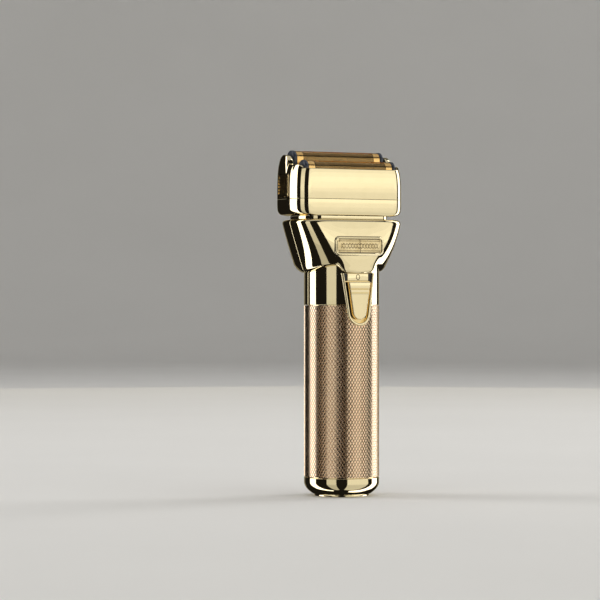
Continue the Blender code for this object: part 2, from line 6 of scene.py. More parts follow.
import bmesh
import bpy
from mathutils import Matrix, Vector


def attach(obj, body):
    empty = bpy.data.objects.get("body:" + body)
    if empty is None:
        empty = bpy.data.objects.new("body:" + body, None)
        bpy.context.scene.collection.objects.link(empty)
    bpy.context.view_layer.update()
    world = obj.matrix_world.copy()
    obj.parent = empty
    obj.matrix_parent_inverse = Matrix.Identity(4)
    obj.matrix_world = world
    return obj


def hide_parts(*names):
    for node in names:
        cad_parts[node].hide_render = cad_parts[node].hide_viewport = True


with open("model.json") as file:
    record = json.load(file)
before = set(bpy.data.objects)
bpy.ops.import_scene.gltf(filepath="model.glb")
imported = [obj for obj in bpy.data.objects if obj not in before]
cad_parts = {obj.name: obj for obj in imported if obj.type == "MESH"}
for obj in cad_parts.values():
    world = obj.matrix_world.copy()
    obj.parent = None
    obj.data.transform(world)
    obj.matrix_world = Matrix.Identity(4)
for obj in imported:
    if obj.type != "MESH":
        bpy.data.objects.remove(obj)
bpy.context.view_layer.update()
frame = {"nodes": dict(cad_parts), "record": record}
MM = 0.001
NODES = frame["nodes"]
BODY_OF = {n: b for b, members in frame["record"]["behaviour"]["bodies"].items() for n in members}

# ------------------------------------------------------------------ camera
AZ = math.radians(-27.0)
RIGHT = Vector((math.cos(AZ), math.sin(AZ), 0.0))
AHEAD = Vector((-math.sin(AZ), math.cos(AZ), 0.0))
cam_data = bpy.data.cameras.new("camera")
cam_data.sensor_width = 36.0
cam_data.lens = 153.6
cam_data.clip_start, cam_data.clip_end = 0.05, 20.0
camera = bpy.data.objects.new("camera", cam_data)
camera.location = -AHEAD * 1.220 - RIGHT * 0.0198 + Vector((0, 0, 0.093))
camera.rotation_mode = "QUATERNION"
camera.rotation_quaternion = AHEAD.to_track_quat("-Z", "Y")
bpy.context.scene.collection.objects.link(camera)
bpy.context.scene.camera = camera


# ------------------------------------------------------------------ materials
def clamp01(v):
    return max(0.0, min(1.0, v))


def shade(c, k):
    return tuple(clamp01(v * k) for v in c) + (1.0,)


def surface(name, dark, light, rough, metal, scale=400.0, rough_var=0.04, bump=0.05,
            bump_scale=1500.0, stretch=(1, 1, 1), distance=0.00005, coat=0.0, ior=1.5,
            smudge=60.0, smudge_amount=0.03, spec=0.5, cells=0.0, cell_scale=900.0,
            transmission=0.0, emission=None):
    """A metal or moulded surface: colour varies with a slow cloud, roughness
    with handling smudges and a fine grain, and the grain also lifts the surface."""
    m = bpy.data.materials.new(name)
    m.use_nodes = True
    nt = m.node_tree
    n, l = nt.nodes, nt.links
    b = n["Principled BSDF"]
    b.inputs["Metallic"].default_value = metal
    b.inputs["IOR"].default_value = ior
    b.inputs["Specular IOR Level"].default_value = spec
    b.inputs["Coat Weight"].default_value = coat
    b.inputs["Transmission Weight"].default_value = transmission
    co = n.new("ShaderNodeTexCoord")
    mp = n.new("ShaderNodeMapping")
    mp.inputs["Scale"].default_value = stretch
    l.new(co.outputs["Object"], mp.inputs["Vector"])

    def noise(s, detail=4.0, r=0.55):
        t = n.new("ShaderNodeTexNoise")
        t.inputs["Scale"].default_value = s
        t.inputs["Detail"].default_value = detail
        t.inputs["Roughness"].default_value = r
        l.new(mp.outputs["Vector"], t.inputs["Vector"])
        return t

    cloud = noise(smudge, 3.0)
    grain = noise(scale, 4.0)
    fine = noise(bump_scale, 3.0, 0.6)
    mix = n.new("ShaderNodeMix")
    mix.data_type = "RGBA"
    mix.inputs[6].default_value = (*dark, 1.0)
    mix.inputs[7].default_value = (*light, 1.0)
    both = n.new("ShaderNodeMath")
    both.operation = "MULTIPLY_ADD"
    both.inputs[1].default_value = 0.5
    l.new(cloud.outputs["Fac"], both.inputs[0])
    half = n.new("ShaderNodeMath")
    half.operation = "MULTIPLY"
    half.inputs[1].default_value = 0.5
    l.new(grain.outputs["Fac"], half.inputs[0])
    l.new(half.outputs[0], both.inputs[2])
    ramp = n.new("ShaderNodeMapRange")
    ramp.inputs["From Min"].default_value = 0.36
    ramp.inputs["From Max"].default_value = 0.64
    l.new(both.outputs[0], ramp.inputs["Value"])
    l.new(ramp.outputs[0], mix.inputs["Factor"])
    l.new(mix.outputs[2], b.inputs["Base Color"])
    rr = n.new("ShaderNodeMapRange")
    rr.inputs["From Min"].default_value = 0.3
    rr.inputs["From Max"].default_value = 0.7
    rr.inputs["To Min"].default_value = max(0.02, rough - rough_var)
    rr.inputs["To Max"].default_value = rough + rough_var
    l.new(grain.outputs["Fac"], rr.inputs["Value"])
    sm = n.new("ShaderNodeMapRange")
    sm.inputs["From Min"].default_value = 0.52
    sm.inputs["From Max"].default_value = 0.75
    sm.inputs["To Min"].default_value = 0.0
    sm.inputs["To Max"].default_value = smudge_amount
    l.new(cloud.outputs["Fac"], sm.inputs["Value"])
    add = n.new("ShaderNodeMath")
    add.operation = "ADD"
    l.new(rr.outputs[0], add.inputs[0])
    l.new(sm.outputs[0], add.inputs[1])
    l.new(add.outputs[0], b.inputs["Roughness"])
    bp = n.new("ShaderNodeBump")
    bp.inputs["Strength"].default_value = bump
    bp.inputs["Distance"].default_value = distance
    height = fine.outputs["Fac"]
    if cells:
        v = n.new("ShaderNodeTexVoronoi")
        v.inputs["Scale"].default_value = cell_scale
        l.new(mp.outputs["Vector"], v.inputs["Vector"])
        mx = n.new("ShaderNodeMath")
        mx.operation = "MULTIPLY_ADD"
        mx.inputs[1].default_value = cells
        l.new(v.outputs["Distance"], mx.inputs[0])
        l.new(height, mx.inputs[2])
        height = mx.outputs[0]
    l.new(height, bp.inputs["Height"])
    l.new(bp.outputs[0], b.inputs["Normal"])
    if emission:
        b.inputs["Emission Color"].default_value = (*emission[0], 1.0)
        b.inputs["Emission Strength"].default_value = emission[1]
    return m


MAT = {
    "gold_chrome": surface("gold_chrome", (0.87, 0.745, 0.47), (0.90, 0.775, 0.50), 0.045, 1.0,
                           scale=220, rough_var=0.012, bump=0.02, bump_scale=500,
                           smudge=45, smudge_amount=0.03, distance=0.00003),
    "gold_deep": surface("gold_deep", (0.80, 0.61, 0.31), (0.86, 0.67, 0.36), 0.10, 1.0,
                         scale=400, rough_var=0.03, bump=0.05, bump_scale=900,
                         smudge=80, smudge_amount=0.05, distance=0.00003),
    "satin_gold": surface("satin_gold", (0.95, 0.71, 0.50), (0.98, 0.76, 0.55), 0.19, 1.0,
                          scale=700, rough_var=0.015, bump=0.05, bump_scale=2600,
                          smudge=35, smudge_amount=0.01, distance=0.00002),
    "badge_gold": surface("badge_gold", (0.56, 0.43, 0.22), (0.80, 0.66, 0.40), 0.17, 1.0,
                          scale=1500, rough_var=0.05, bump=0.35, bump_scale=3200,
                          smudge=300, smudge_amount=0.04, distance=0.00005,
                          cells=0.4, cell_scale=2600),
    "foil_gold": surface("foil_gold", (0.86, 0.53, 0.19), (0.93, 0.62, 0.26), 0.20, 1.0,
                         scale=900, rough_var=0.05, bump=0.15, bump_scale=2400,
                         smudge=150, smudge_amount=0.06, distance=0.00003),
    "foil_end_blue": surface("foil_end_blue", (0.012, 0.019, 0.036), (0.024, 0.034, 0.058), 0.34, 0.0,
                             scale=700, rough_var=0.07, bump=0.3, bump_scale=2600,
                             distance=0.00004, coat=0.2),
    "black_plastic": surface("black_plastic", (0.010, 0.010, 0.011), (0.022, 0.022, 0.024), 0.42, 0.0,
                             scale=500, rough_var=0.07, bump=0.35, bump_scale=2200,
                             distance=0.00005, cells=0.4, cell_scale=1800),
    "smoked_plastic": surface("smoked_plastic", (0.016, 0.015, 0.014), (0.034, 0.031, 0.029), 0.26, 0.0,
                              scale=400, rough_var=0.05, bump=0.15, bump_scale=1800,
                              distance=0.00004, coat=0.3),
    "cell_blue": surface("cell_blue", (0.012, 0.07, 0.24), (0.022, 0.11, 0.34), 0.3, 0.0,
                         scale=120, rough_var=0.05, bump=0.2, bump_scale=600,
                         stretch=(1, 1, 0.15), distance=0.00006, coat=0.5),
    "clear_ring": surface("clear_ring", (0.66, 0.68, 0.69), (0.80, 0.82, 0.82), 0.18, 0.0,
                          scale=300, rough_var=0.05, bump=0.1, bump_scale=1400,
                          transmission=0.35, coat=0.3),
    "steel": surface("steel", (0.50, 0.51, 0.53), (0.66, 0.66, 0.68), 0.26, 1.0,
                     scale=900, rough_var=0.07, bump=0.3, bump_scale=2400,
                     stretch=(1, 1, 0.2), distance=0.00004, smudge=120, smudge_amount=0.08),
    "magnet_grey": surface("magnet_grey", (0.035, 0.035, 0.04), (0.075, 0.075, 0.08), 0.5, 0.3,
                           scale=1200, rough_var=0.1, bump=0.4, bump_scale=3000),
    "brass_contact": surface("brass_contact", (0.66, 0.45, 0.16), (0.82, 0.62, 0.30), 0.24, 1.0,
                             scale=700, rough_var=0.08, bump=0.25, bump_scale=2200,
                             smudge=220, smudge_amount=0.1),
    "black_rubber": surface("black_rubber", (0.014, 0.014, 0.014), (0.032, 0.031, 0.030), 0.66, 0.0,
                            scale=800, rough_var=0.1, bump=0.55, bump_scale=2400,
                            distance=0.00008, cells=0.5, cell_scale=1500),
    "white_plastic": surface("white_plastic", (0.66, 0.65, 0.61), (0.78, 0.77, 0.74), 0.4, 0.0,
                             scale=300, rough_var=0.06, bump=0.2, bump_scale=1800),
    "board_green": surface("board_green", (0.010, 0.085, 0.032), (0.022, 0.15, 0.06), 0.36, 0.0,
                           scale=1500, rough_var=0.08, bump=0.5, bump_scale=2200, coat=0.3,
                           distance=0.00006, cells=0.5, cell_scale=1200),
    "blade_steel": surface("blade_steel", (0.075, 0.062, 0.052), (0.14, 0.12, 0.10), 0.38, 1.0,
                           scale=900, rough_var=0.07, bump=0.3, bump_scale=2400,
                           distance=0.00004, smudge=120, smudge_amount=0.06),
    "mark_dark": surface("mark_dark", (0.10, 0.075, 0.035), (0.17, 0.13, 0.065), 0.35, 0.6,
                         scale=1200, rough_var=0.08, bump=0.3, bump_scale=2600),
}


# ------------------------------------------------------------------ mesh helpers
class Shape:
    """Points in mm and faces, gathered ring by ring."""

    def __init__(self):
        self.v, self.f = [], []

    def ring(self, pts):
        i = len(self.v)
        self.v += [tuple(p) for p in pts]
        return list(range(i, i + len(pts)))

    def skin(self, a, b, closed=True):
        n = len(a)
        for i in range(n if closed else n - 1):
            j = (i + 1) % n
            self.f.append((a[i], a[j], b[j], b[i]))

    def loft(self, rings, ends=True, loop=False, closed=True):
        rows = [self.ring(r) for r in rings]
        for a, b in zip(rows, rows[1:]):
            self.skin(a, b, closed)
        if loop:
            self.skin(rows[-1], rows[0], closed)
        elif ends:
            self.f.append(tuple(rows[0][::-1]))
            self.f.append(tuple(rows[-1]))
        return rows

    def spin(self, profile, steps=160, cx=0.0, cy=0.0, closed=True):
        """A turned ring from a closed (radius, height) profile, or a solid
        from an open one that starts and ends on the axis."""
        rings = []
        for k in range(steps):
            a = 2 * math.pi * k / steps
            c, s = math.cos(a), math.sin(a)
            rings.append([(cx + r * c, cy + r * s, z) for r, z in profile])
        rows = [self.ring(r) for r in rings]
        for k in range(steps):
            self.skin(rows[k], rows[(k + 1) % steps], closed)


def soften(pts, radius, steps=4, closed=False):
    """Rounds the corners of a line of points with any number of coordinates.
    radius is one number, or a list with one for each point."""
    out, n = [], len(pts)
    for i, p in enumerate(pts):
        r = radius[i] if isinstance(radius, (list, tuple)) else radius
        if (not closed and i in (0, n - 1)) or not r:
            out.append(tuple(p))
            continue
        a, b = pts[i - 1], pts[(i + 1) % n]
        la, lb = math.dist(a, p), math.dist(b, p)
        ta, tb = min(r / max(la, 1e-9), 0.49), min(r / max(lb, 1e-9), 0.49)
        s = [q + (w - q) * ta for q, w in zip(p, a)]
        e = [q + (w - q) * tb for q, w in zip(p, b)]
        for j in range(steps + 1):
            t = j / steps
            out.append(tuple((1 - t) ** 2 * x + 2 * t * (1 - t) * q + t * t * y
                             for x, q, y in zip(s, p, e)))
    return out


def make(name, shape, mat, body, nodes=(), angle=32.0, flat=False, ride=True):
    mesh = bpy.data.meshes.new(name)
    mesh.from_pydata([(x * MM, y * MM, z * MM) for x, y, z in shape.v], [], shape.f)
    bm = bmesh.new()
    bm.from_mesh(mesh)
    bmesh.ops.remove_doubles(bm, verts=bm.verts, dist=2e-7)
    bmesh.ops.dissolve_degenerate(bm, edges=bm.edges, dist=1e-8)
    bmesh.ops.recalc_face_normals(bm, faces=bm.faces)
    bm.to_mesh(mesh)
    bm.free()
    ob = bpy.data.objects.new(name, mesh)
    bpy.context.scene.collection.objects.link(ob)
    if mat is not None:
        mesh.materials.append(MAT[mat])
    smooth(ob, angle, flat)
    if ride:
        settle(ob, body, nodes)
    return ob


def smooth(ob, angle, flat=False):
    if flat:
        ob.data.shade_flat()
    else:
        ob.data.shade_smooth()
        ob.data.set_sharp_from_angle(angle=math.radians(angle))


def settle(ob, body, nodes):
    """Puts a finished piece on its body and in place of its CAD nodes."""
    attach(ob, body)
    if nodes:
        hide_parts(*nodes)
    return ob


def cut(ob, cutters, operation="DIFFERENCE", angle=32.0, flat=False):
    """Cuts a mesh with others for good, and removes the cutters."""
    for c in cutters:
        m = ob.modifiers.new("cut", "BOOLEAN")
        m.operation, m.solver, m.object = operation, "EXACT", c
    dg = bpy.context.evaluated_depsgraph_get()
    done = bpy.data.meshes.new_from_object(ob.evaluated_get(dg))
    ob.modifiers.clear()
    old = ob.data
    ob.data = done
    bpy.data.meshes.remove(old)
    for c in cutters:
        bpy.data.objects.remove(c, do_unlink=True)
    bm = bmesh.new()
    bm.from_mesh(ob.data)
    bmesh.ops.remove_doubles(bm, verts=bm.verts, dist=1e-7)
    bmesh.ops.dissolve_degenerate(bm, edges=bm.edges, dist=1e-8)
    bm.to_mesh(ob.data)
    bm.free()
    smooth(ob, angle, flat)
    return ob


def tool(rings, loop=False):
    s = Shape()
    s.loft(rings, loop=loop)
    return make("tool", s, None, None, ride=False)


def box_tool(lo, hi):
    (x0, y0, z0), (x1, y1, z1) = lo, hi
    return tool([[(x0, y0, z), (x1, y0, z), (x1, y1, z), (x0, y1, z)] for z in (z0, z1)])


def rounded(w, df, dr, r, z, arc=8, side=0, front=0):
    """A rounded rectangle ring: half width w, front depth df, rear depth dr,
    corner radius r, with extra points along its straight sides."""
    corners = [(w - r, -df + r, -90), (w - r, dr - r, 0),
               (-w + r, dr - r, 90), (-w + r, -df + r, 180)]
    pts = []
    for k, (cx, cy, a0) in enumerate(corners):
        for i in range(arc + 1):
            a = math.radians(a0 + 90 * i / arc)
            pts.append((cx + r * math.cos(a), cy + r * math.sin(a)))
        extra = side if k in (0, 2) else front
        if extra:
            nx, ny, na = corners[(k + 1) % 4]
            ex, ey = nx + r * math.cos(math.radians(na)), ny + r * math.sin(math.radians(na))
            sx, sy = pts[-1]
            for i in range(1, extra + 1):
                t = i / (extra + 1)
                pts.append((sx + (ex - sx) * t, sy + (ey - sy) * t))
    height = z if callable(z) else (lambda x, y: z)
    return [(x, y, height(x, y)) for x, y in pts]


def smooth01(t):
    t = clamp01(t)
    return t * t * (3 - 2 * t)


def gate(v, centre, half, soft):
    """1 within half of the centre, falling to 0 over a soft edge."""
    return 1.0 - smooth01((abs(v - centre) - half) / soft)


# ------------------------------------------------------------------ end cap
s = Shape()
cap_profile = [(16.05, 13.5), (16.05, 12.3), (15.3, 12.3), (15.3, 10.9), (16.05, 10.9), (16.05, 9.0),
               (17.55, 9.0), (17.9, 8.72), (17.9, 6.1), (17.62, 5.0), (16.9, 3.7), (15.7, 2.45),
               (14.1, 1.2), (13.35, 0.95), (13.15, 0.72),
               (13.0, 0.0), (11.5, 0.0), (11.5, 8.4), (14.4, 8.4), (14.4, 13.5)]
cap_round = [0, 0, 0, 0, 0, 0, 0.12, 0.15, 0.3, 0.6, 0.7, 0.9, 0.2, 0.05, 0.1, 0.25, 0.4, 0.2, 0.2, 0.1]
s.spin(soften(cap_profile, cap_round, 5, closed=True), 224)
make("end_cap_shell", s, "gold_chrome", "end_cap", ["end_cap"])

# ------------------------------------------------------------------ knurled grip
GRIP_R, BORE = 17.9, 16.4
N_AROUND, Z0, Z1 = 76, 9.3, 90.4
ROWS = 65
PLATEAU, DEPTH = 0.64, 0.21


def knurled_sleeve():
    s = Shape()
    pz = (Z1 - Z0) / ROWS
    da = math.pi / N_AROUND
    cross, plate = {}, {}

    def at(a, b, r):
        t = a * da
        return (r * math.cos(t), r * math.sin(t), Z0 + b * pz)

    def put(p):
        s.v.append(p)
        return len(s.v) - 1

    n2 = 2 * N_AROUND
    for b in range(ROWS + 1):
        for a in range(n2):
            if (a + b) % 2 == 0:
                cross[a, b] = put(at(a, b, GRIP_R - DEPTH))
            else:
                q = {"w": put(at(a - PLATEAU, b, GRIP_R)), "e": put(at(a + PLATEAU, b, GRIP_R))}
                if b > 0:
                    q["s"] = put(at(a, b - PLATEAU, GRIP_R))
                if b < ROWS:
                    q["n"] = put(at(a, b + PLATEAU, GRIP_R))
                plate[a, b] = q
    for (a, b), q in plate.items():
        w, e = cross[(a - 1) % n2, b], cross[(a + 1) % n2, b]
        top = [q[k] for k in ("w", "s", "e", "n") if k in q]
        s.f.append(tuple(top))
        if "s" in q:
            lo = cross[a, b - 1]
            s.f += [(w, lo, q["s"], q["w"]), (lo, e, q["e"], q["s"])]
        if "n" in q:
            hi = cross[a, b + 1]
            s.f += [(e, hi, q["n"], q["e"]), (hi, w, q["w"], q["n"])]
    for b in (0, ROWS):
        line = []
        for a in range(n2):
            if (a + b) % 2 == 0:
                line.append(cross[a, b])
            else:
                line += [plate[a, b]["w"], plate[a, b]["e"]]
        inner = []
        for i in line:
            x, y, z = s.v[i]
            k = BORE / math.hypot(x, y)
            inner.append((x * k, y * k, z))
        ring = s.ring(inner)
        s.skin(line, ring)
        if b == 0:
            first = ring
    # the bore is one smooth wall; both end rings start at matching angles
    last = ring
    start = min(range(len(last)), key=lambda i: math.dist(s.v[last[i]][:2], s.v[first[0]][:2]))
    last = last[start:] + last[:start]
    s.skin(first, last)
    return s


def slot_outline(w_top, z_top, z_bend, r, grow=0.0, arc=28):
    """A tapered U in the XZ plane: straight edges that close in downwards and
    a round lower end."""
    pts = [(w_top + grow, z_top + max(grow, 0.0))]
    for i in range(arc + 1):
        a = math.radians(-8 - 164 * i / arc)
        pts.append(((r + grow) * math.cos(a), z_bend + (r + grow) * math.sin(a)))
    pts.append((-w_top - grow, z_top + max(grow, 0.0)))
    return pts


def slot_tool(grow, y0=-24.0, y1=-10.0, top=105.6):
    o = slot_outline(8.8, top, 87.0, 6.0, grow)
    return tool([[(x, y0, z) for x, z in o], [(x, y1, z) for x, z in o]])


sleeve = make("knurled_grip", knurled_sleeve(), "satin_gold", "root", ride=False, flat=True)
cut(sleeve, [slot_tool(0.08)], flat=True)
settle(sleeve, "root", ["grip_sleeve"])


# ------------------------------------------------------------------ housing shells
def lip_height(x, y):
    a = math.degrees(math.atan2(abs(x), -y))
    if a < 36:
        return 105.9 + 3.3 * smooth01((a - 21) / 15)
    return 109.2 - 3.1 * smooth01((a - 36) / 54)


INNER = [
    (14.6, 14.6, 14.6, 2.0, 84.6, 0.0), (14.6, 14.6, 14.6, 2.0, 89.0, 0.0),
    (16.0, 16.0, 16.0, 2.0, 92.5, 0.0), (16.1, 16.1, 16.1, 2.0, 98.0, 0.0),
    (16.2, 16.2, 16.2, 2.0, 106.1, 0.6), (16.4, 16.3, 16.6, 2.1, 107.2, 0.6),
    (17.9, 16.6, 17.0, 2.3, 108.7, 0.6), (20.5, 17.0, 17.0, 2.7, 113.6, 0.3),
    (22.4, 16.9, 16.2, 3.2, 119.3, 0.1), (24.4, 15.8, 15.4, 3.7, 125.0, 0.0),
    (25.4, 14.7, 14.7, 4.0, 128.4, 0.0), (25.1, 14.2, 14.2, 4.0, 129.1, 0.0),
    (23.8, 13.2, 13.2, 4.0, 129.4, 0.0), (20.6, 9.6, 9.6, 4.0, 129.4, 0.0)]


def spline(points, steps):
    """A smooth line through points with any number of coordinates."""
    out = []
    for i in range(len(points) - 1):
        p0 = points[max(i - 1, 0)]
        p1, p2 = points[i], points[i + 1]
        p3 = points[min(i + 2, len(points) - 1)]
        for j in range(steps):
            t = j / steps
            out.append(tuple(
                0.5 * (2 * b + (c - a) * t + (2 * a - 5 * b + 4 * c - d) * t * t
                       + (3 * b - a - 3 * c + d) * t ** 3)
                for a, b, c, d in zip(p0, p1, p2, p3)))
    out.append(points[-1])
    return out


# half width, front depth, rear depth, squareness, height, share of the lip, index into INNER
LOWER = soften([
    (16.05, 16.05, 16.05, 2.0, 84.6, 0.0, 0.0), (16.05, 16.05, 16.05, 2.0, 90.62, 0.0, 1.0),
    (17.7, 17.7, 17.7, 2.0, 90.62, 0.0, 1.6), (17.9, 17.9, 17.9, 2.0, 90.82, 0.0, 2.0),
    (17.9, 17.9, 17.9, 2.0, 98.0, 0.0, 3.0), (17.9, 17.9, 17.9, 2.0, 106.0, 1.0, 4.0)],
    [0, 0, 0.1, 0.1, 0.3, 0], 3)
FLARE = spline([
    (20.95, 18.42, 19.0, 2.3, 108.4, 0.8, 6.0), (22.45, 18.72, 18.65, 2.7, 113.0, 0.4, 7.0),
    (24.4, 18.55, 17.85, 3.2, 119.0, 0.1, 8.0), (26.3, 17.5, 17.0, 3.7, 125.0, 0.0, 9.0),
    (27.6, 16.35, 16.3, 4.0, 129.3, 0.0, 10.0)], 11)
LIP = soften([LOWER[-1], (18.25, 18.0, 18.2, 2.0, 106.0, 1.0, 4.4),
              (19.5, 18.25, 18.75, 2.1, 106.35, 1.0, 4.8), (20.45, 18.35, 19.0, 2.2, 107.1, 0.95, 5.2),
              FLARE[0], FLARE[1]], [0, 0.12, 0.45, 0.45, 0.35, 0], 4)[1:-1]
SHOULDER = soften([FLARE[-2], FLARE[-1], (27.4, 16.05, 16.05, 4.0, 130.4, 0.0, 11.0),
                   (26.2, 15.0, 15.0, 4.0, 131.0, 0.0, 12.0), (20.6, 9.6, 9.6, 4.0, 131.0, 0.0, 13.0)],
                  [0, 0.5, 0.9, 0.9, 0], 6)[1:]
SKIN = LOWER + LIP + FLARE[1:-1] + SHOULDER


def rear_n(n):
    """The rear half of the flare is a little squarer than the front."""
    return n + 0.35 * max(0.0, 4.0 - n) * smooth01((n - 2.15) / 0.3)


def oval_half(w, df, dr, n, sign, count):
    """Evenly spaced points along half a superellipse, between the two ends of
    its long axis, on the front (-1) or the rear (1)."""
    d = df if sign < 0 else dr
    n = n if sign < 0 else rear_n(n)
    dense = []
    for i in range(721):
        t = math.pi * i / 720
        c, q = math.cos(t), math.sin(t)
        dense.append((w * math.copysign(abs(c) ** (2 / n), c), sign * d * abs(q) ** (2 / n)))
    run = [0.0]
    for a, b in zip(dense, dense[1:]):
        run.append(run[-1] + math.dist(a, b))
    out, k = [], 0
    for i in range(count + 1):
        want = run[-1] * i / count
        while k < 719 and run[k + 1] < want:
            k += 1
        t = (want - run[k]) / max(run[k + 1] - run[k], 1e-12)
        out.append((dense[k][0] + (dense[k + 1][0] - dense[k][0]) * t,
                    dense[k][1] + (dense[k + 1][1] - dense[k][1]) * t))
    return out


def inner_at(f):
    i = min(int(f), 12)
    t = f - i
    return tuple(a + (b - a) * t for a, b in zip(INNER[i], INNER[i + 1]))


SEAM = 0.06              # half of the parting line between the two shells


def half_line(w, df, dr, n, sign, count, crisp):
    pts = oval_half(w, df, dr, n, sign, count)
    body = [p for p in pts[1:-1]]
    if crisp:
        left = [(w - 0.14, sign * SEAM), (w - 0.035, sign * (SEAM + 0.035)), (w, sign * (SEAM + 0.14))]
    else:
        left = [(w, sign * SEAM), (w, sign * (SEAM + 0.035)), (w, sign * (SEAM + 0.14))]
    right = [(-x, y) for x, y in left][::-1]
    return left + body + right


def shell(name, sign, count=128):
    s = Shape()
    rows = []
    for w, df, dr, n, z, lip, f in SKIN:
        crisp = 17.85 < w and z < 130.9
        line = half_line(w, df, dr, n, sign, count, crisp)
        outer = s.ring([(x, y, z + lip * (lip_height(x, y) - 106.1)) for x, y in line])
        w2, df2, dr2, n2, z2, lip2 = inner_at(f)
        line2 = half_line(w2, df2, dr2, n2, sign, count, False)
        inner = s.ring([(x, y, z2 + lip2 * (lip_height(x, y) - 106.1)) for x, y in line2])
        rows.append((outer, inner))
    for (lo, li), (uo, ui) in zip(rows, rows[1:]):
        s.skin(lo, uo, closed=False)
        s.skin(ui, li, closed=False)
        for k in (0, -1):
            s.f.append((lo[k], uo[k], ui[k], li[k]))
    for out, inn in (rows[0], rows[-1]):
        s.skin(out, inn, closed=False)
    return make(name, s, "gold_chrome", "root", ride=False, angle=40)


front_shell = shell("front_shell", -1)
cut(front_shell, [slot_tool(0.08)], angle=40)
settle(front_shell, "root", ["front_housing"])
rear_shell = shell("rear_shell", 1)
settle(rear_shell, "root", ["rear_housing"])


def front_y(x, z):
    """Front face of the flared shell."""
    for a, b in zip(FLARE, FLARE[1:]):
        if z <= b[4]:
            t = clamp01((z - a[4]) / (b[4] - a[4]))
            w, df, n = (a[i] + (b[i] - a[i]) * t for i in (0, 1, 3))
            return -df * (1 - min(1.0, (abs(x) / w)) ** n) ** (1 / n)
    return -FLARE[-1][1]


def rear_face_y(x, z):
    for a, b in zip(FLARE, FLARE[1:]):
        if z <= b[4]:
            t = clamp01((z - a[4]) / (b[4] - a[4]))
            w, dr, n = (a[i] + (b[i] - a[i]) * t for i in (0, 2, 3))
            n = rear_n(n)
            return dr * (1 - min(1.0, (abs(x) / w)) ** n) ** (1 / n)
    return FLARE[-1][2]


# ------------------------------------------------------------------ slide switch
def rim():
    """The rounded rim of the switch bezel, swept along its U."""
    section = [(0.0, "y", -15.2), (0.0, "r", 18.35), (0.05, "r", 18.58), (0.18, "r", 18.72),
               (0.38, "r", 18.75), (0.72, "r", 18.75), (0.92, "r", 18.70), (1.05, "r", 18.55),
               (1.1, "r", 18.3), (1.1, "y", -15.2)]
    path = slot_outline(8.8, 105.6, 87.0, 6.0, 0.0, 56)
    # extra points down the two straight arms
    a, b = path[0], path[1]
    arm = [(a[0] + (b[0] - a[0]) * k / 24, a[1] + (b[1] - a[1]) * k / 24) for k in range(24)]
    path = arm + path[1:-1] + [(-x, z) for x, z in arm][::-1]
    s = Shape()
    rows = []
    for i, (x, z) in enumerate(path):
        p, q = path[max(i - 1, 0)], path[min(i + 1, len(path) - 1)]
        tx, tz = q[0] - p[0], q[1] - p[1]
        ln = math.hypot(tx, tz)
        nx, nz = tz / ln, -tx / ln
        if nx * -x + nz * (95.0 - z) < 0 and abs(x) > 0.5:
            nx, nz = -nx, -nz
        if i in (0, len(path) - 1):
            nx, nz = (-1.0 if x > 0 else 1.0), 0.0
        if abs(x) <= 0.5:
            nx, nz = 0.0, 1.0
        ring = []
        for d, kind, val in section:
            px, pz = x + nx * d, z + nz * d
            y = val if kind == "y" else -math.sqrt(val * val - px * px)
            ring.append((px, y, pz))
        rows.append(ring)
    s.loft(rows)
    return s


make("bezel_rim", rim(), "gold_chrome", "root", ["switch_bezel"], angle=40)
s = Shape()
floor_line = slot_outline(8.2, 105.55, 87.0, 5.4, 0.0, 40)
s.loft([[(x, -15.0, z) for x, z in floor_line], [(x, -15.9, z) for x, z in floor_line]])
bezel_floor = make("bezel_floor", s, "gold_deep", "root", ride=False)
cut(bezel_floor, [box_tool((-1.7, -17, 90.0), (1.7, -14, 101.4))])
settle(bezel_floor, "root", [])

SL_TOP, SL_BEND, SL_R, SL_W = 101.5, 87.3, 3.5, 5.75


def slider_half(z):
    """Half width of the slider's tongue at a height."""
    if z < SL_BEND - SL_R * math.sin(math.radians(8)):
        return math.sqrt(max(SL_R ** 2 - (z - SL_BEND) ** 2, 0.0))
    x0 = SL_R * math.cos(math.radians(8))
    z0 = SL_BEND - SL_R * math.sin(math.radians(8))
    return x0 + (SL_W - x0) * (z - z0) / (SL_TOP - z0)


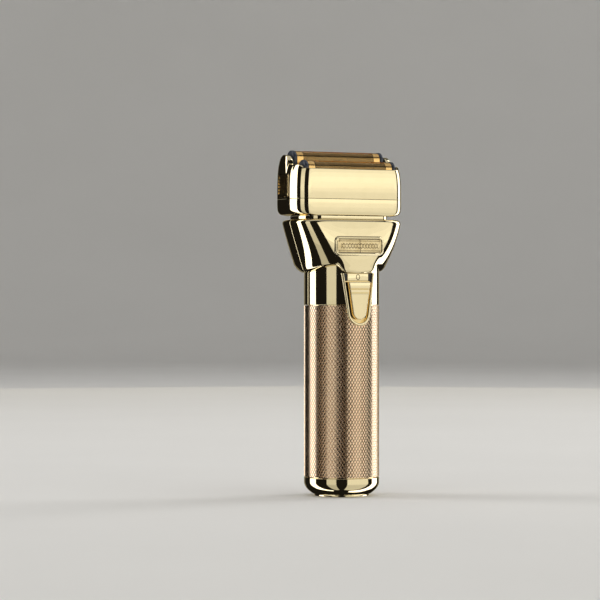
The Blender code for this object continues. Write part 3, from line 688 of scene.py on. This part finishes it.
def slider():
    s = Shape()
    nz, nx = 150, 36
    z_low = SL_BEND - SL_R
    rows = []
    for i in range(nz + 1):
        u = i / nz
        z = z_low + (SL_TOP - z_low) * (u * u * 0.35 + u * 0.65)
        half = slider_half(z)
        row = []
        for j in range(nx + 1):
            # columns crowd towards the edges, where the face rolls over
            q = math.sin(math.pi / 2 * (2 * j / nx - 1))
            x = half * q
            side = half - abs(x)
            if z < SL_BEND:
                side = SL_R - math.hypot(x, z - SL_BEND)
            edge = max(0.0, min(side, SL_TOP - z))
            roll = 0.0
            if edge < 0.42:
                roll = 0.42 - math.sqrt(max(0.42 ** 2 - (0.42 - edge) ** 2, 0.0))
            y = -18.9 + 0.010 * x * x + roll
            y += 0.42 * gate(z, 98.25, 0.12, 0.26)          # groove under the raised band
            y += 0.22 * gate(z, 96.35, 0.05, 0.16)          # fine line under the bead
            y += 0.16 * smooth01((96.3 - z) / 1.0)          # the tongue lies a little lower
            y += 0.10 * smooth01((z - 99.6) / 1.9)          # the band leans back at its top
            row.append((x, min(y, -17.0), z))
        rows.append(row)
    idx = [s.ring(r) for r in rows]
    for a, b in zip(idx, idx[1:]):
        s.skin(a, b, closed=False)
    edge = [r[0] for r in idx] + idx[-1][1:] + [r[-1] for r in idx[::-1][1:]] + idx[0][1:-1][::-1]
    back = s.ring([(s.v[i][0], -16.9, s.v[i][2]) for i in edge])
    s.skin(edge, back)
    s.f.append(tuple(back))
    # the stem that goes through the slot to the switch
    s.loft([[(-1.2, -16.95, z), (1.2, -16.95, z), (1.2, -13.9, z), (-1.2, -13.9, z)]
            for z in (93.6, 95.6)])
    return s


make("slider_tongue", slider(), "gold_chrome", "power_slider", ["power_slider"], angle=45)

# dark wells either side of the marker plate
for side, sx in (("left", -1), ("right", 1)):
    s = Shape()
    xs = sorted((sx * 5.6, sx * 8.05))
    s.loft([[(xs[0], -15.7, z), (xs[1], -15.7, z), (xs[1], -16.0, z), (xs[0], -16.0, z)]
            for z in (101.9, 105.5)])
    make(f"marker_well_{side}", s, "black_plastic", "root", [], flat=True)

# the plate above the slider, with its ring mark
s = Shape()
plate = []
for inset, y in ((0.0, -16.0), (0.0, -16.42), (0.08, -16.53), (0.2, -16.56)):
    ring = rounded(5.55 - inset, 1.7 - inset, 1.7 - inset, max(0.3 - inset, 0.06), 0.0, 4)
    plate.append([(x, y, 103.75 + v) for x, v, _ in ring])
s.loft(plate)
make("marker_plate", s, "gold_chrome", "root", ["off_marker"], angle=40)
s = Shape()
rows = []
for k in range(48):
    a = 2 * math.pi * k / 48
    cx, cz = math.cos(a), math.sin(a)
    px, pz = 0.88 * cx, 103.75 + 1.22 * cz
    rows.append([(px + 0.18 * math.cos(b) * cx, -16.55 - 0.10 * math.sin(b), pz + 0.18 * math.cos(b) * cz)
                 for b in [math.pi * 2 * j / 10 for j in range(10)]])
s.loft(rows, loop=True)
make("marker_ring", s, "mark_dark", "root", [])

# ------------------------------------------------------------------ badge
BZ = 118.4


def badge_loop(w, h, r, proud, arc=10, long=40, short=8):
    out = []
    for x, v, _ in rounded(w, h, h, r, 0.0, arc, short, long):
        z = BZ + v
        out.append((x, front_y(x, z) - proud, z))
    return out


s = Shape()
frame_section = soften([(0.0, -0.35), (0.0, 0.30), (0.35, 0.66), (0.75, 0.66), (1.1, 0.34), (1.15, -0.35)],
                       [0, 0.12, 0.16, 0.16, 0.12, 0], 5)
s.loft([badge_loop(12.9 - d, 4.4 - d, 2.2 - d * 0.7, h) for d, h in frame_section], loop=True)
make("badge_rim", s, "gold_chrome", "root", ["badge_frame"], angle=40)


# painted shade: a black sheet behind the badge shows as a thin dark outline round the rim and in the gap to the
# sheet, where the real badge has only shade
s = Shape()
s.loft([badge_loop(13.08 - d, 4.58 - d, 2.3 - d * 0.5, h) for d, h in
        ((0.0, -0.3), (0.0, 0.04), (0.06, 0.1), (1.6, 0.1), (1.6, -0.3))], loop=True)
make("badge_lining", s, "black_plastic", "root", [], angle=40)


def scroll(x, v):
    """A running ornament of two crossing waves, generic and worn."""
    k = 2 * math.pi / 3.1
    amp = 1.05
    h = 0.0
    for ph in (0.0, math.pi):
        d = abs(v - amp * math.sin(k * x + ph)) / (1 + 0.9 * abs(math.cos(k * x + ph)))
        h = max(h, 1.0 - smooth01((d - 0.06) / 0.16))
    d = abs(math.hypot(((x + 0.775) % 1.55) - 0.775, v) - 0.20)
    h = max(h, 0.9 * (1.0 - smooth01((d - 0.03) / 0.14)))
    return h if abs(x) < 9.9 else 0.0


def badge_sheet():
    s = Shape()
    w, h, nx, nz = 11.52, 3.02, 300, 66
    rows = []
    for i in range(nz + 1):
        v = -h + 2 * h * i / nz
        row = []
        for j in range(nx + 1):
            x = -w + 2 * w * j / nx
            y = front_y(x, BZ + v) - 0.14
            relief = 0.19 * scroll(x, v)
            relief += 0.15 * gate(abs(v), 2.28, 0.05, 0.12) * (abs(x) < 10.6)
            relief += 0.10 * gate(x, 0.0, 0.06, 0.08)
            relief -= 0.12 * gate(abs(x), 0.20, 0.02, 0.07)
            for sx in (-10.7, 10.7):
                for sv in (-2.3, 2.3):
                    d = math.hypot(x - sx, v - sv)
                    if d < 0.42:
                        relief = 0.22 * math.sqrt(max(0.0, 1 - (d / 0.42) ** 2))
            row.append((x, y - relief, BZ + v))
        rows.append(row)
    idx = [s.ring(r) for r in rows]
    for a, b in zip(idx, idx[1:]):
        s.skin(a, b, closed=False)
    edge = [r[0] for r in idx] + idx[-1][1:] + [r[-1] for r in idx[::-1][1:]] + idx[0][1:-1][::-1]
    back = s.ring([(s.v[i][0], s.v[i][1] + 0.6, s.v[i][2]) for i in edge])
    s.skin(edge, back)
    s.f.append(tuple(back))
    return s


make("badge_sheet", badge_sheet(), "badge_gold", "root", ["badge_plate"], angle=60)


# ------------------------------------------------------------------ rear pad
def rear_loop(w, z0, z1, proud, r=3.0):
    zc, h = (z0 + z1) / 2, (z1 - z0) / 2
    return [(x, rear_face_y(x, zc + v) + proud, zc + v)
            for x, v, _ in rounded(w, h, h, r, 0.0, 10, 20, 20)]


s = Shape()
s.loft([rear_loop(11.5, 110.5, 127.5, -0.3), rear_loop(11.5, 110.5, 127.5, 0.55),
        rear_loop(11.3, 110.7, 127.3, 0.85, 2.8), rear_loop(10.9, 111.1, 126.9, 1.0, 2.4),
        rear_loop(10.0, 112.0, 126.0, 1.0, 1.8), rear_loop(9.7, 112.3, 125.7, 0.85, 1.6)], ends=True)
for k in range(8):
    z = 113.6 + k * 1.55
    bar = []
    for j in range(41):
        x = -8.6 + 17.2 * j / 40
        t = math.sqrt(max(0.02, 1 - (abs(x) / 8.75) ** 8))
        bar.append([(x, rear_face_y(x, z) + 0.8 + 0.5 * t * math.sin(a), z + 0.48 * t * math.cos(a))
                    for a in [math.pi * m / 8 for m in range(9)]]
                   + [(x, rear_face_y(x, z) + 0.7, z - 0.48 * t), (x, rear_face_y(x, z) + 0.7, z + 0.48 * t)])
    s.loft(bar)
make("rear_grip_pad", s, "black_rubber", "root", ["rear_pad"], angle=40)

# ------------------------------------------------------------------ neck and head base
def nose(ring, share=1.0, start=-0.4, amount=0.00078):
    """Draws the sides of a ring in towards its front."""
    return [(x * (1 - share * amount * (y - start) ** 2) if y < start else x, y, z) for x, y, z in ring]


s = Shape()
neck_levels = soften([(19.5, 8.9, 9.6, 2.5, 131.3, 0.0), (22.9, 11.3, 11.3, 3.2, 131.3, 1.0),
                      (22.9, 11.3, 11.3, 3.2, 132.75, 1.0), (19.5, 8.9, 9.6, 2.5, 132.75, 0.0)],
                     [0, 0.15, 0.15, 0], 3)
s.loft([nose(rounded(w, df, dr, r, z, 10, 20, 40), k, 2.0, 0.00115)
        for w, df, dr, r, z, k in neck_levels], loop=True)
make("neck_band", s, "gold_chrome", "root", ["neck_ring"], angle=40)


def belly(x, y):
    return 133.1 - 0.3 * min(1.0, (abs(x) / 23.4) ** 6)


def base_ring(w, df, dr, r, z, bow, share):
    return nose(rounded(w, df, dr, r, lambda x, y: z + bow * (belly(x, y) - 133.1), 12, 14, 40), share)


base_levels = soften([
    (22.0, 9.6, 10.0, 2.4, 133.1, 1.0, 1.0), (24.4, 11.6, 11.9, 3.6, 133.1, 1.0, 1.0),
    (27.9, 11.72, 12.6, 3.8, 133.6, 0.4, 1.0), (28.85, 12.0, 13.4, 4.0, 134.9, 0.0, 1.0),
    (29.1, 12.0, 13.5, 4.0, 137.5, 0.0, 1.0), (29.1, 12.0, 13.5, 4.0, 140.6, 0.0, 1.0),
    (26.3, 10.5, 12.0, 2.6, 140.6, 0.0, 0.0), (26.2, 10.4, 11.9, 2.6, 135.3, 0.0, 0.0)],
    [0, 0.35, 0.8, 0.9, 0.5, 0.16, 0.1, 0], 6)
s = Shape()
s.loft([base_ring(*lv) for lv in base_levels])
head_lower = make("head_lower", s, "gold_chrome", "root", ride=False, angle=40)


def post_tool(y, r=2.1):
    o = [(p[0], p[1] + y) for p in rounded(3.6, r, r, 1.9, 0.0, 6)]
    return tool([[(x, v, 130.0) for x, v in o], [(x, v, 138.0) for x, v in o]])


def rod_tool(x, y, r, z0, z1, n=32):
    return tool([[(x + r * math.cos(2 * math.pi * i / n), y + r * math.sin(2 * math.pi * i / n), z)
                  for i in range(n)] for z in (z0, z1)])


cut(head_lower, [post_tool(-6.6), post_tool(6.9), rod_tool(-16.5, 0.6, 1.4, 126, 140),
                 rod_tool(16.5, 0.6, 1.4, 126, 140)], angle=40)
settle(head_lower, "root", ["head_base"])

# ------------------------------------------------------------------ lift-off foil frame
FRONT_Y, FRONT_TOP, REAR_Y, REAR_TOP = -5.7, 158.8, 6.4, 163.8


def frame_top(x, y):
    base = 154.7 + 0.2 * (y + 12.0)
    side = smooth01((abs(x) - 22.6) / 1.2)
    if side <= 0:
        return base
    top = base
    for yc, crest in ((FRONT_Y, FRONT_TOP - 2.1), (REAR_Y, REAR_TOP - 2.0)):
        d = 5.0 ** 2 - (y - yc) ** 2
        if d > 0:
            top = max(top, crest - 5.0 + math.sqrt(d))
    return base + (top - base) * side


def frame_ring(w, df, dr, r, z, share, drawn):
    return nose(rounded(w, df, dr, r, lambda x, y: z + share * (frame_top(x, y) - z), 12, 56, 48), drawn)


frame_levels = soften([
    (26.4, 10.7, 12.2, 2.6, 140.75, 0.0, 0.0), (29.1, 12.0, 13.5, 4.0, 140.75, 0.0, 1.0),
    (29.1, 12.0, 13.5, 4.0, 146.5, 0.0, 1.0), (28.85, 12.0, 13.5, 4.0, 147.0, 0.45, 1.0),
    (28.45, 11.9, 13.45, 3.9, 147.0, 0.75, 1.0), (27.6, 11.65, 13.35, 3.6, 147.0, 1.0, 1.0),
    (25.1, 10.75, 12.25, 2.6, 147.0, 1.0, 0.0), (25.3, 10.6, 12.1, 2.6, 147.0, 0.6, 0.0),
    (25.4, 10.6, 12.1, 2.6, 141.2, 0.0, 0.0)],
    [0, 0.16, 0.5, 0.9, 0.9, 0.28, 0.2, 0.3, 0], 5)
s = Shape()
s.loft([frame_ring(*lv) for lv in frame_levels], loop=True)
foil_frame = make("foil_frame_shell", s, "gold_chrome", "foil_frame", ride=False, angle=40)
tools = []
for sx in (-1, 1):
    xs = sorted((sx * 23.9, sx * 30.0))
    o = [(p[0] + 3.8, p[1] + 147.15) for p in rounded(5.45, 5.5, 5.5, 0.7, 0.0, 4)]
    tools.append(tool([[(x, y, z) for y, z in o] for x in xs]))
cut(foil_frame, tools, angle=40)
settle(foil_frame, BODY_OF["foil_frame"], ["foil_frame"])

for side, sx in (("left", -1), ("right", 1)):
    s = Shape()
    face = [(25.6, 141.95), (29.0, 141.95), (29.3, 142.4)]
    for k in range(6):
        z = 143.0 + k * 1.45
        face += [(29.38, z), (29.40, z + 0.22), (28.96, z + 0.62), (28.92, z + 0.95)]
    face += [(29.22, 151.7), (28.85, 152.35), (25.6, 152.35)]
    rows = []
    y0, y1, r = -1.35, 8.95, 0.45
    for k in range(33):
        t = k / 32
        y = y0 + (y1 - y0) * (0.5 - 0.5 * math.cos(math.pi * t))
        e = min(y - y0, y1 - y)
        roll = 0.0 if e >= r else r - math.sqrt(max(r * r - (r - e) ** 2, 0.0))
        rows.append([(sx * (max(x - roll, 25.6) if x > 26 else x), y,
                      z + (roll * 0.5 if z < 143 else -roll * 0.5 if z > 151.5 else 0)) for x, z in face])
    s.loft(rows)
    catch = soften([(25.75, 144.8), (24.1, 144.4), (24.1, 137.6), (24.7, 137.0), (24.9, 137.9),
                    (24.9, 143.0), (25.75, 143.0)], [0, 0.15, 0.15, 0.15, 0, 0.15, 0], 3)
    s.loft([[(sx * x, y, z) for x, z in catch] for y in (-1.2, 8.8)])
    make(f"side_button_{side}", s, "gold_deep", BODY_OF[f"release_button_{side}"],
         [f"release_button_{side}"], angle=30)

# ------------------------------------------------------------------ foils
FOIL_R, HALF = 3.7, 22.2
SOLID = 3.0              # unperforated length at each end of a foil


def foil(yc, crest, pitch=0.58):
    """A thin arched foil: a sheet of hexagonal cells, each a rim round a hole,
    with plain margins at the ends and along the two legs."""
    s = Shape()
    r_out, r_in = FOIL_R, FOIL_R - 0.14
    zc = crest - FOIL_R
    leg = zc - 2.9
    arc_len = math.pi * FOIL_R
    leg_len = 2.9
    total = arc_len + 2 * leg_len

    def place(x, u, r):
        """u runs over the sheet from the front leg's foot to the rear's."""
        if u < leg_len:
            return (x, yc - r, leg + u)
        if u > leg_len + arc_len:
            return (x, yc + r, leg + total - u)
        a = (u - leg_len) / FOIL_R
        return (x, yc - r * math.cos(a), zc + r * math.sin(a))

    row_h = pitch * math.sqrt(3) / 2
    u0, u1 = 1.0, total - 1.0
    x0, x1 = -HALF + SOLID, HALF - SOLID
    rows = int((u1 - u0) / row_h)
    cols = int((x1 - x0) / pitch) - 1
    key = {}

    def vert(x, u, r):
        k = (round(x, 4), round(u, 4), r)
        if k not in key:
            s.v.append(place(x, u, r))
            key[k] = len(s.v) - 1
        return key[k]

    ru = pitch / math.sqrt(3)
    su = (u0 + u1 - (rows - 1) * row_h) / 2
    sx0 = (x0 + x1 - (cols - 0.5) * pitch) / 2
    hole = 0.86
    skip = set()
    edges = {}
    for i in range(rows):
        for j in range(cols):
            cx = sx0 + j * pitch + (pitch / 2 if i % 2 else 0.0)
            cu = su + i * row_h
            hexa = [(cx + ru * math.sin(math.pi / 3 * k), cu + ru * math.cos(math.pi / 3 * k))
                    for k in range(6)]
            solid = i in skip
            o = [vert(x, u, r_out) for x, u in hexa]
            n = [vert(x, u, r_in) for x, u in hexa]
            for k in range(6):
                e = (o[k], o[(k + 1) % 6])
                edges.setdefault(frozenset(e), []).append((o[k], o[(k + 1) % 6], n[k], n[(k + 1) % 6]))
            if solid:
                s.f.append(tuple(o))
                s.f.append(tuple(n[::-1]))
                continue
            oh = [vert(cx + (x - cx) * hole, cu + (u - cu) * hole, r_out) for x, u in hexa]
            nh = [vert(cx + (x - cx) * hole, cu + (u - cu) * hole, r_in) for x, u in hexa]
            for k in range(6):
                q = (k + 1) % 6
                s.f.append((o[k], o[q], oh[q], oh[k]))
                s.f.append((n[q], n[k], nh[k], nh[q]))
                s.f.append((oh[k], oh[q], nh[q], nh[k]))
    for quads in edges.values():
        if len(quads) == 1:
            a, b, c, d = quads[0]
            s.f.append((a, b, d, c))
    # plain margins: a frame sheet around the perforated field
    field_u0, field_u1 = su - ru * 0.9, su + (rows - 1) * row_h + ru * 0.9
    field_x0, field_x1 = sx0 - pitch * 0.42, sx0 + (cols - 0.5) * pitch + pitch * 0.42

    def patch(xa, xb, ua, ub, nu):
        us = [ua + (ub - ua) * k / nu for k in range(nu + 1)]
        a = [s.ring([place(x, u, r) for u in us]) for x, r in ((xa, r_out), (xb, r_out), (xb, r_in), (xa, r_in))]
        for k in range(4):
            s.skin(a[k], a[(k + 1) % 4], closed=False)
        s.f.append(tuple(r[0] for r in a[::-1]))
        s.f.append(tuple(r[-1] for r in a))

    patch(-HALF, field_x0, 0.0, total, 72)
    patch(field_x1, HALF, 0.0, total, 72)
    patch(field_x0, field_x1, 0.0, field_u0, 12)
    patch(field_x0, field_x1, field_u1, total, 12)
    return s


for row, yc, crest in (("front", FRONT_Y, FRONT_TOP), ("rear", REAR_Y, REAR_TOP)):
    zc = crest - FOIL_R
    make(f"{row}_foil_sheet", foil(yc, crest), "foil_gold", BODY_OF[f"{row}_foil"], [f"{row}_foil"],
         angle=28)
    for side, sx in (("left", -1), ("right", 1)):
        s = Shape()
        rings = []
        for x, r, grow in ((22.5, 3.62, -0.2), (22.55, 3.8, -0.06), (22.75, 3.88, 0.0), (23.6, 3.9, 0.0),
                           (23.95, 3.82, -0.05), (24.15, 3.6, -0.2), (24.2, 3.3, -0.4)):
            low = zc - 2.9
            pts = [(yc - r, low - grow * 0.4)]
            pts += [(yc - r * math.cos(math.pi * k / 40), zc + r * math.sin(math.pi * k / 40))
                    for k in range(41)]
            pts.append((yc + r, low - grow * 0.4))
            rings.append([(sx * x, y, z) for y, z in pts])
        s.loft(rings)
        make(f"{row}_foil_cap_{side}", s, "foil_end_blue", BODY_OF[f"{row}_foil_end_{side}"],
             [f"{row}_foil_end_{side}"], angle=40)

    # the cutter: thin arched blades on a spine
    s = Shape()
    for k in range(67):
        x = -19.8 + 0.6 * k
        prof = [(yc - 3.0 * math.cos(math.pi * j / 20), zc + 3.0 * math.sin(math.pi * j / 20)) for j in range(21)]
        prof += [(yc + 3.0, zc - 1.2), (yc + 1.9, zc - 1.2)]
        prof += [(yc + 1.9 * math.cos(math.pi * j / 12), zc + 1.9 * math.sin(math.pi * j / 12)) for j in range(13)]
        prof += [(yc - 1.9, zc - 1.2), (yc - 3.0, zc - 1.2)]
        s.loft([[(xx, y, z) for y, z in prof] for xx in (x - 0.11, x + 0.11)])
    for y0, y1, z0, z1 in ((yc - 3.0, yc - 2.2, zc - 3.2, zc - 0.9), (yc + 2.2, yc + 3.0, zc - 3.2, zc - 0.9),
                           (yc - 2.9, yc + 2.9, zc - 3.2, zc - 2.6)):
        s.loft([[(x, y0, z0), (x, y1, z0), (x, y1, z1), (x, y0, z1)] for x in (-20.3, 20.3)])
    make(f"{row}_cutter_blades", s, "blade_steel", BODY_OF[f"{row}_cutter"], [f"{row}_cutter"],
         angle=30)

# ------------------------------------------------------------------ battery end
s = Shape()
s.spin(soften([(11.0, 2.3), (11.0, 0.95), (10.55, 0.62), (8.75, 0.62), (8.6, 0.8), (8.6, 2.3)],
              [0.05, 0.25, 0.2, 0.1, 0.05, 0.05], 4, closed=True), 128)
make("battery_ring", s, "clear_ring", BODY_OF["battery_light_ring"], ["battery_light_ring"], angle=40)
s = Shape()
s.spin(soften([(0.0, 3.9), (9.4, 3.9), (9.4, 2.6), (8.3, 2.6), (8.3, 0.95), (7.9, 0.6), (6.4, 0.6), (6.2, 0.95),
               (2.2, 0.95), (2.0, 0.65), (0.0, 0.65)],
              [0, 0.1, 0.1, 0.05, 0.1, 0.15, 0.1, 0.1, 0.1, 0.1, 0], 3), 112, closed=False)
make("battery_plug", s, "black_plastic", BODY_OF["battery_end_plug"], ["battery_end_plug"], angle=40)

# ------------------------------------------------------------------ carried-over CAD nodes
LOOK = {
    "cap_seal": "black_rubber", "battery_liner": "black_plastic", "battery_case": "smoked_plastic",
    "battery_cell": "cell_blue", "battery_top_plug": "black_plastic", "battery_pole": "brass_contact",
    "contact_carrier": "black_plastic", "centre_contact": "brass_contact",
    "outer_contact": "brass_contact", "slide_switch": "black_plastic", "circuit_board": "board_green",
    "motor_can": "steel", "motor_end_bell": "black_plastic", "motor_magnet": "magnet_grey",
    "motor_armature": "steel", "motor_shaft": "steel", "motor_bracket": "steel",
    "motor_screw_1": "steel", "motor_screw_2": "steel", "eccentric": "brass_contact",
    "front_bridge": "white_plastic", "rear_bridge": "white_plastic", "drive_guide": "black_plastic",
    "seal_plate": "black_rubber", "head_screw_1": "steel", "head_screw_2": "steel",
    "front_cutter_holder": "black_plastic", "rear_cutter_holder": "black_plastic",
    "front_cutter_spring": "steel", "rear_cutter_spring": "steel",
}
for name, look in LOOK.items():
    ob = NODES[name]
    ob.data.materials.clear()
    ob.data.materials.append(MAT[look])
    for p in ob.data.polygons:
        p.use_smooth = True
    ob.data.set_sharp_from_angle(angle=math.radians(35))

# ------------------------------------------------------------------ studio
STUDIO = bpy.data.materials.new("studio_paper")
STUDIO.use_nodes = True
nt = STUDIO.node_tree
nt.nodes["Principled BSDF"].inputs["Roughness"].default_value = 0.9
nt.nodes["Principled BSDF"].inputs["Specular IOR Level"].default_value = 0.1
tc = nt.nodes.new("ShaderNodeTexCoord")
tx = nt.nodes.new("ShaderNodeTexNoise")
tx.inputs["Scale"].default_value = 6.0
mx = nt.nodes.new("ShaderNodeMix")
mx.data_type = "RGBA"
mx.inputs[6].default_value = (0.76, 0.75, 0.73, 1)
mx.inputs[7].default_value = (0.80, 0.79, 0.77, 1)
nt.links.new(tc.outputs["Object"], tx.inputs["Vector"])
nt.links.new(tx.outputs["Fac"], mx.inputs["Factor"])
nt.links.new(mx.outputs[2], nt.nodes["Principled BSDF"].inputs["Base Color"])

# a pale floor that turns up into a wall all the way round, out of the chrome's sight
s = Shape()
bowl = [(0.0, 0.0)]
bowl += [(r, 0.0) for r in (300, 900, 1500, 2100, 2600)]
bowl += [(2600 + 900 * math.sin(a), 900 - 900 * math.cos(a)) for a in [math.pi / 2 * k / 16 for k in range(1, 17)]]
bowl += [(3500, 1800), (3500, 3400)]
rows = []
for k in range(96):
    a = 2 * math.pi * k / 96
    rows.append([(r * math.cos(a), r * math.sin(a), z) for r, z in bowl])
idx = [s.ring(r) for r in rows]
for k in range(96):
    s.skin(idx[k], idx[(k + 1) % 96], closed=False)
floor = make("floor", s, None, None, ride=False)
floor.data.materials.append(STUDIO)
floor.data.flip_normals()
floor.visible_glossy = False


def panel(name, az, width, low, high, radiance, radius=1500.0, colour=(1, 1, 1), tilt=0.0):
    """An upright soft light. az and width in degrees, seen from the object and
    counted to the right of the camera; low and high in mm."""
    a = math.radians(az)
    out = -AHEAD * math.cos(a) + RIGHT * math.sin(a)
    half = radius * math.tan(math.radians(width / 2))
    data = bpy.data.lights.new(name, "AREA")
    data.shape = "RECTANGLE"
    data.size, data.size_y = 2 * half * MM, (high - low) * MM
    data.energy = radiance * math.pi * data.size * data.size_y
    data.color = colour
    ob = bpy.data.objects.new(name, data)
    centre = out * radius * MM
    centre.z = (low + high) / 2 * MM
    ob.location = centre
    look = Vector((-out.x, -out.y, -tilt))
    ob.rotation_mode = "QUATERNION"
    ob.rotation_quaternion = look.to_track_quat("-Z", "Y")
    ob.visible_camera = False
    bpy.context.scene.collection.objects.link(ob)
    return ob


def overhead(name, x, y, z, size, radiance, colour=(1, 1, 1), target=(0, 0, 0)):
    data = bpy.data.lights.new(name, "AREA")
    data.shape = "RECTANGLE"
    data.size, data.size_y = size[0] * MM, size[1] * MM
    data.energy = radiance * math.pi * data.size * data.size_y
    data.color = colour
    ob = bpy.data.objects.new(name, data)
    ob.location = (x * MM, y * MM, z * MM)
    look = Vector(((target[0] - x), (target[1] - y), (target[2] - z)))
    ob.rotation_mode = "QUATERNION"
    ob.rotation_quaternion = look.to_track_quat("-Z", "Y")
    ob.visible_camera = False
    bpy.context.scene.collection.objects.link(ob)
    return ob


CREAM = (1.0, 0.985, 0.90)
panel("strip_left", -100.0, 26.0, -6500, 2200, 2.4)
panel("strip_right", 121.0, 30.0, -6500, 2200, 2.4)
for side, az, width, gain in (("left", -32.0, 30.0, 0.80), ("right", 52.5, 71.0, 1.0)):
    for k, (low, high, radiance) in enumerate((
            (-6500, -700, 0.64), (-700, -250, 0.78), (-250, 20, 0.88), (20, 186, 0.92), (186, 212, 1.04),
            (212, 300, 1.24), (300, 480, 1.16), (480, 700, 1.06), (700, 900, 0.98), (900, 1130, 0.92))):
        panel(f"cream_{side}_{k}", az, width, low, high, radiance * gain, colour=CREAM)
for side, az in (("left", -166.0), ("right", 166.0)):
    panel(f"rim_{side}", az, 28.0, -400, 1200, 0.22, colour=(1.0, 0.9, 0.62))
overhead("top_soft", 0, 0, 2300, (3000, 3000), 0.5)
wash = overhead("wash", 0, 0, 2250, (2400, 2400), 0.7)
wash.visible_glossy = False
wall = overhead("wall_wash", AHEAD.x * 900, AHEAD.y * 900, 2300, (2200, 900), 1.5,
                target=(AHEAD.x * 3500, AHEAD.y * 3500, 700))
wall.visible_glossy = False

world = bpy.data.worlds.new("studio")
world.use_nodes = True
world.node_tree.nodes["Background"].inputs["Color"].default_value = (0.55, 0.50, 0.42, 1)
world.node_tree.nodes["Background"].inputs["Strength"].default_value = 0.02
bpy.context.scene.world = world
bpy.context.scene.view_settings.view_transform = "Standard"
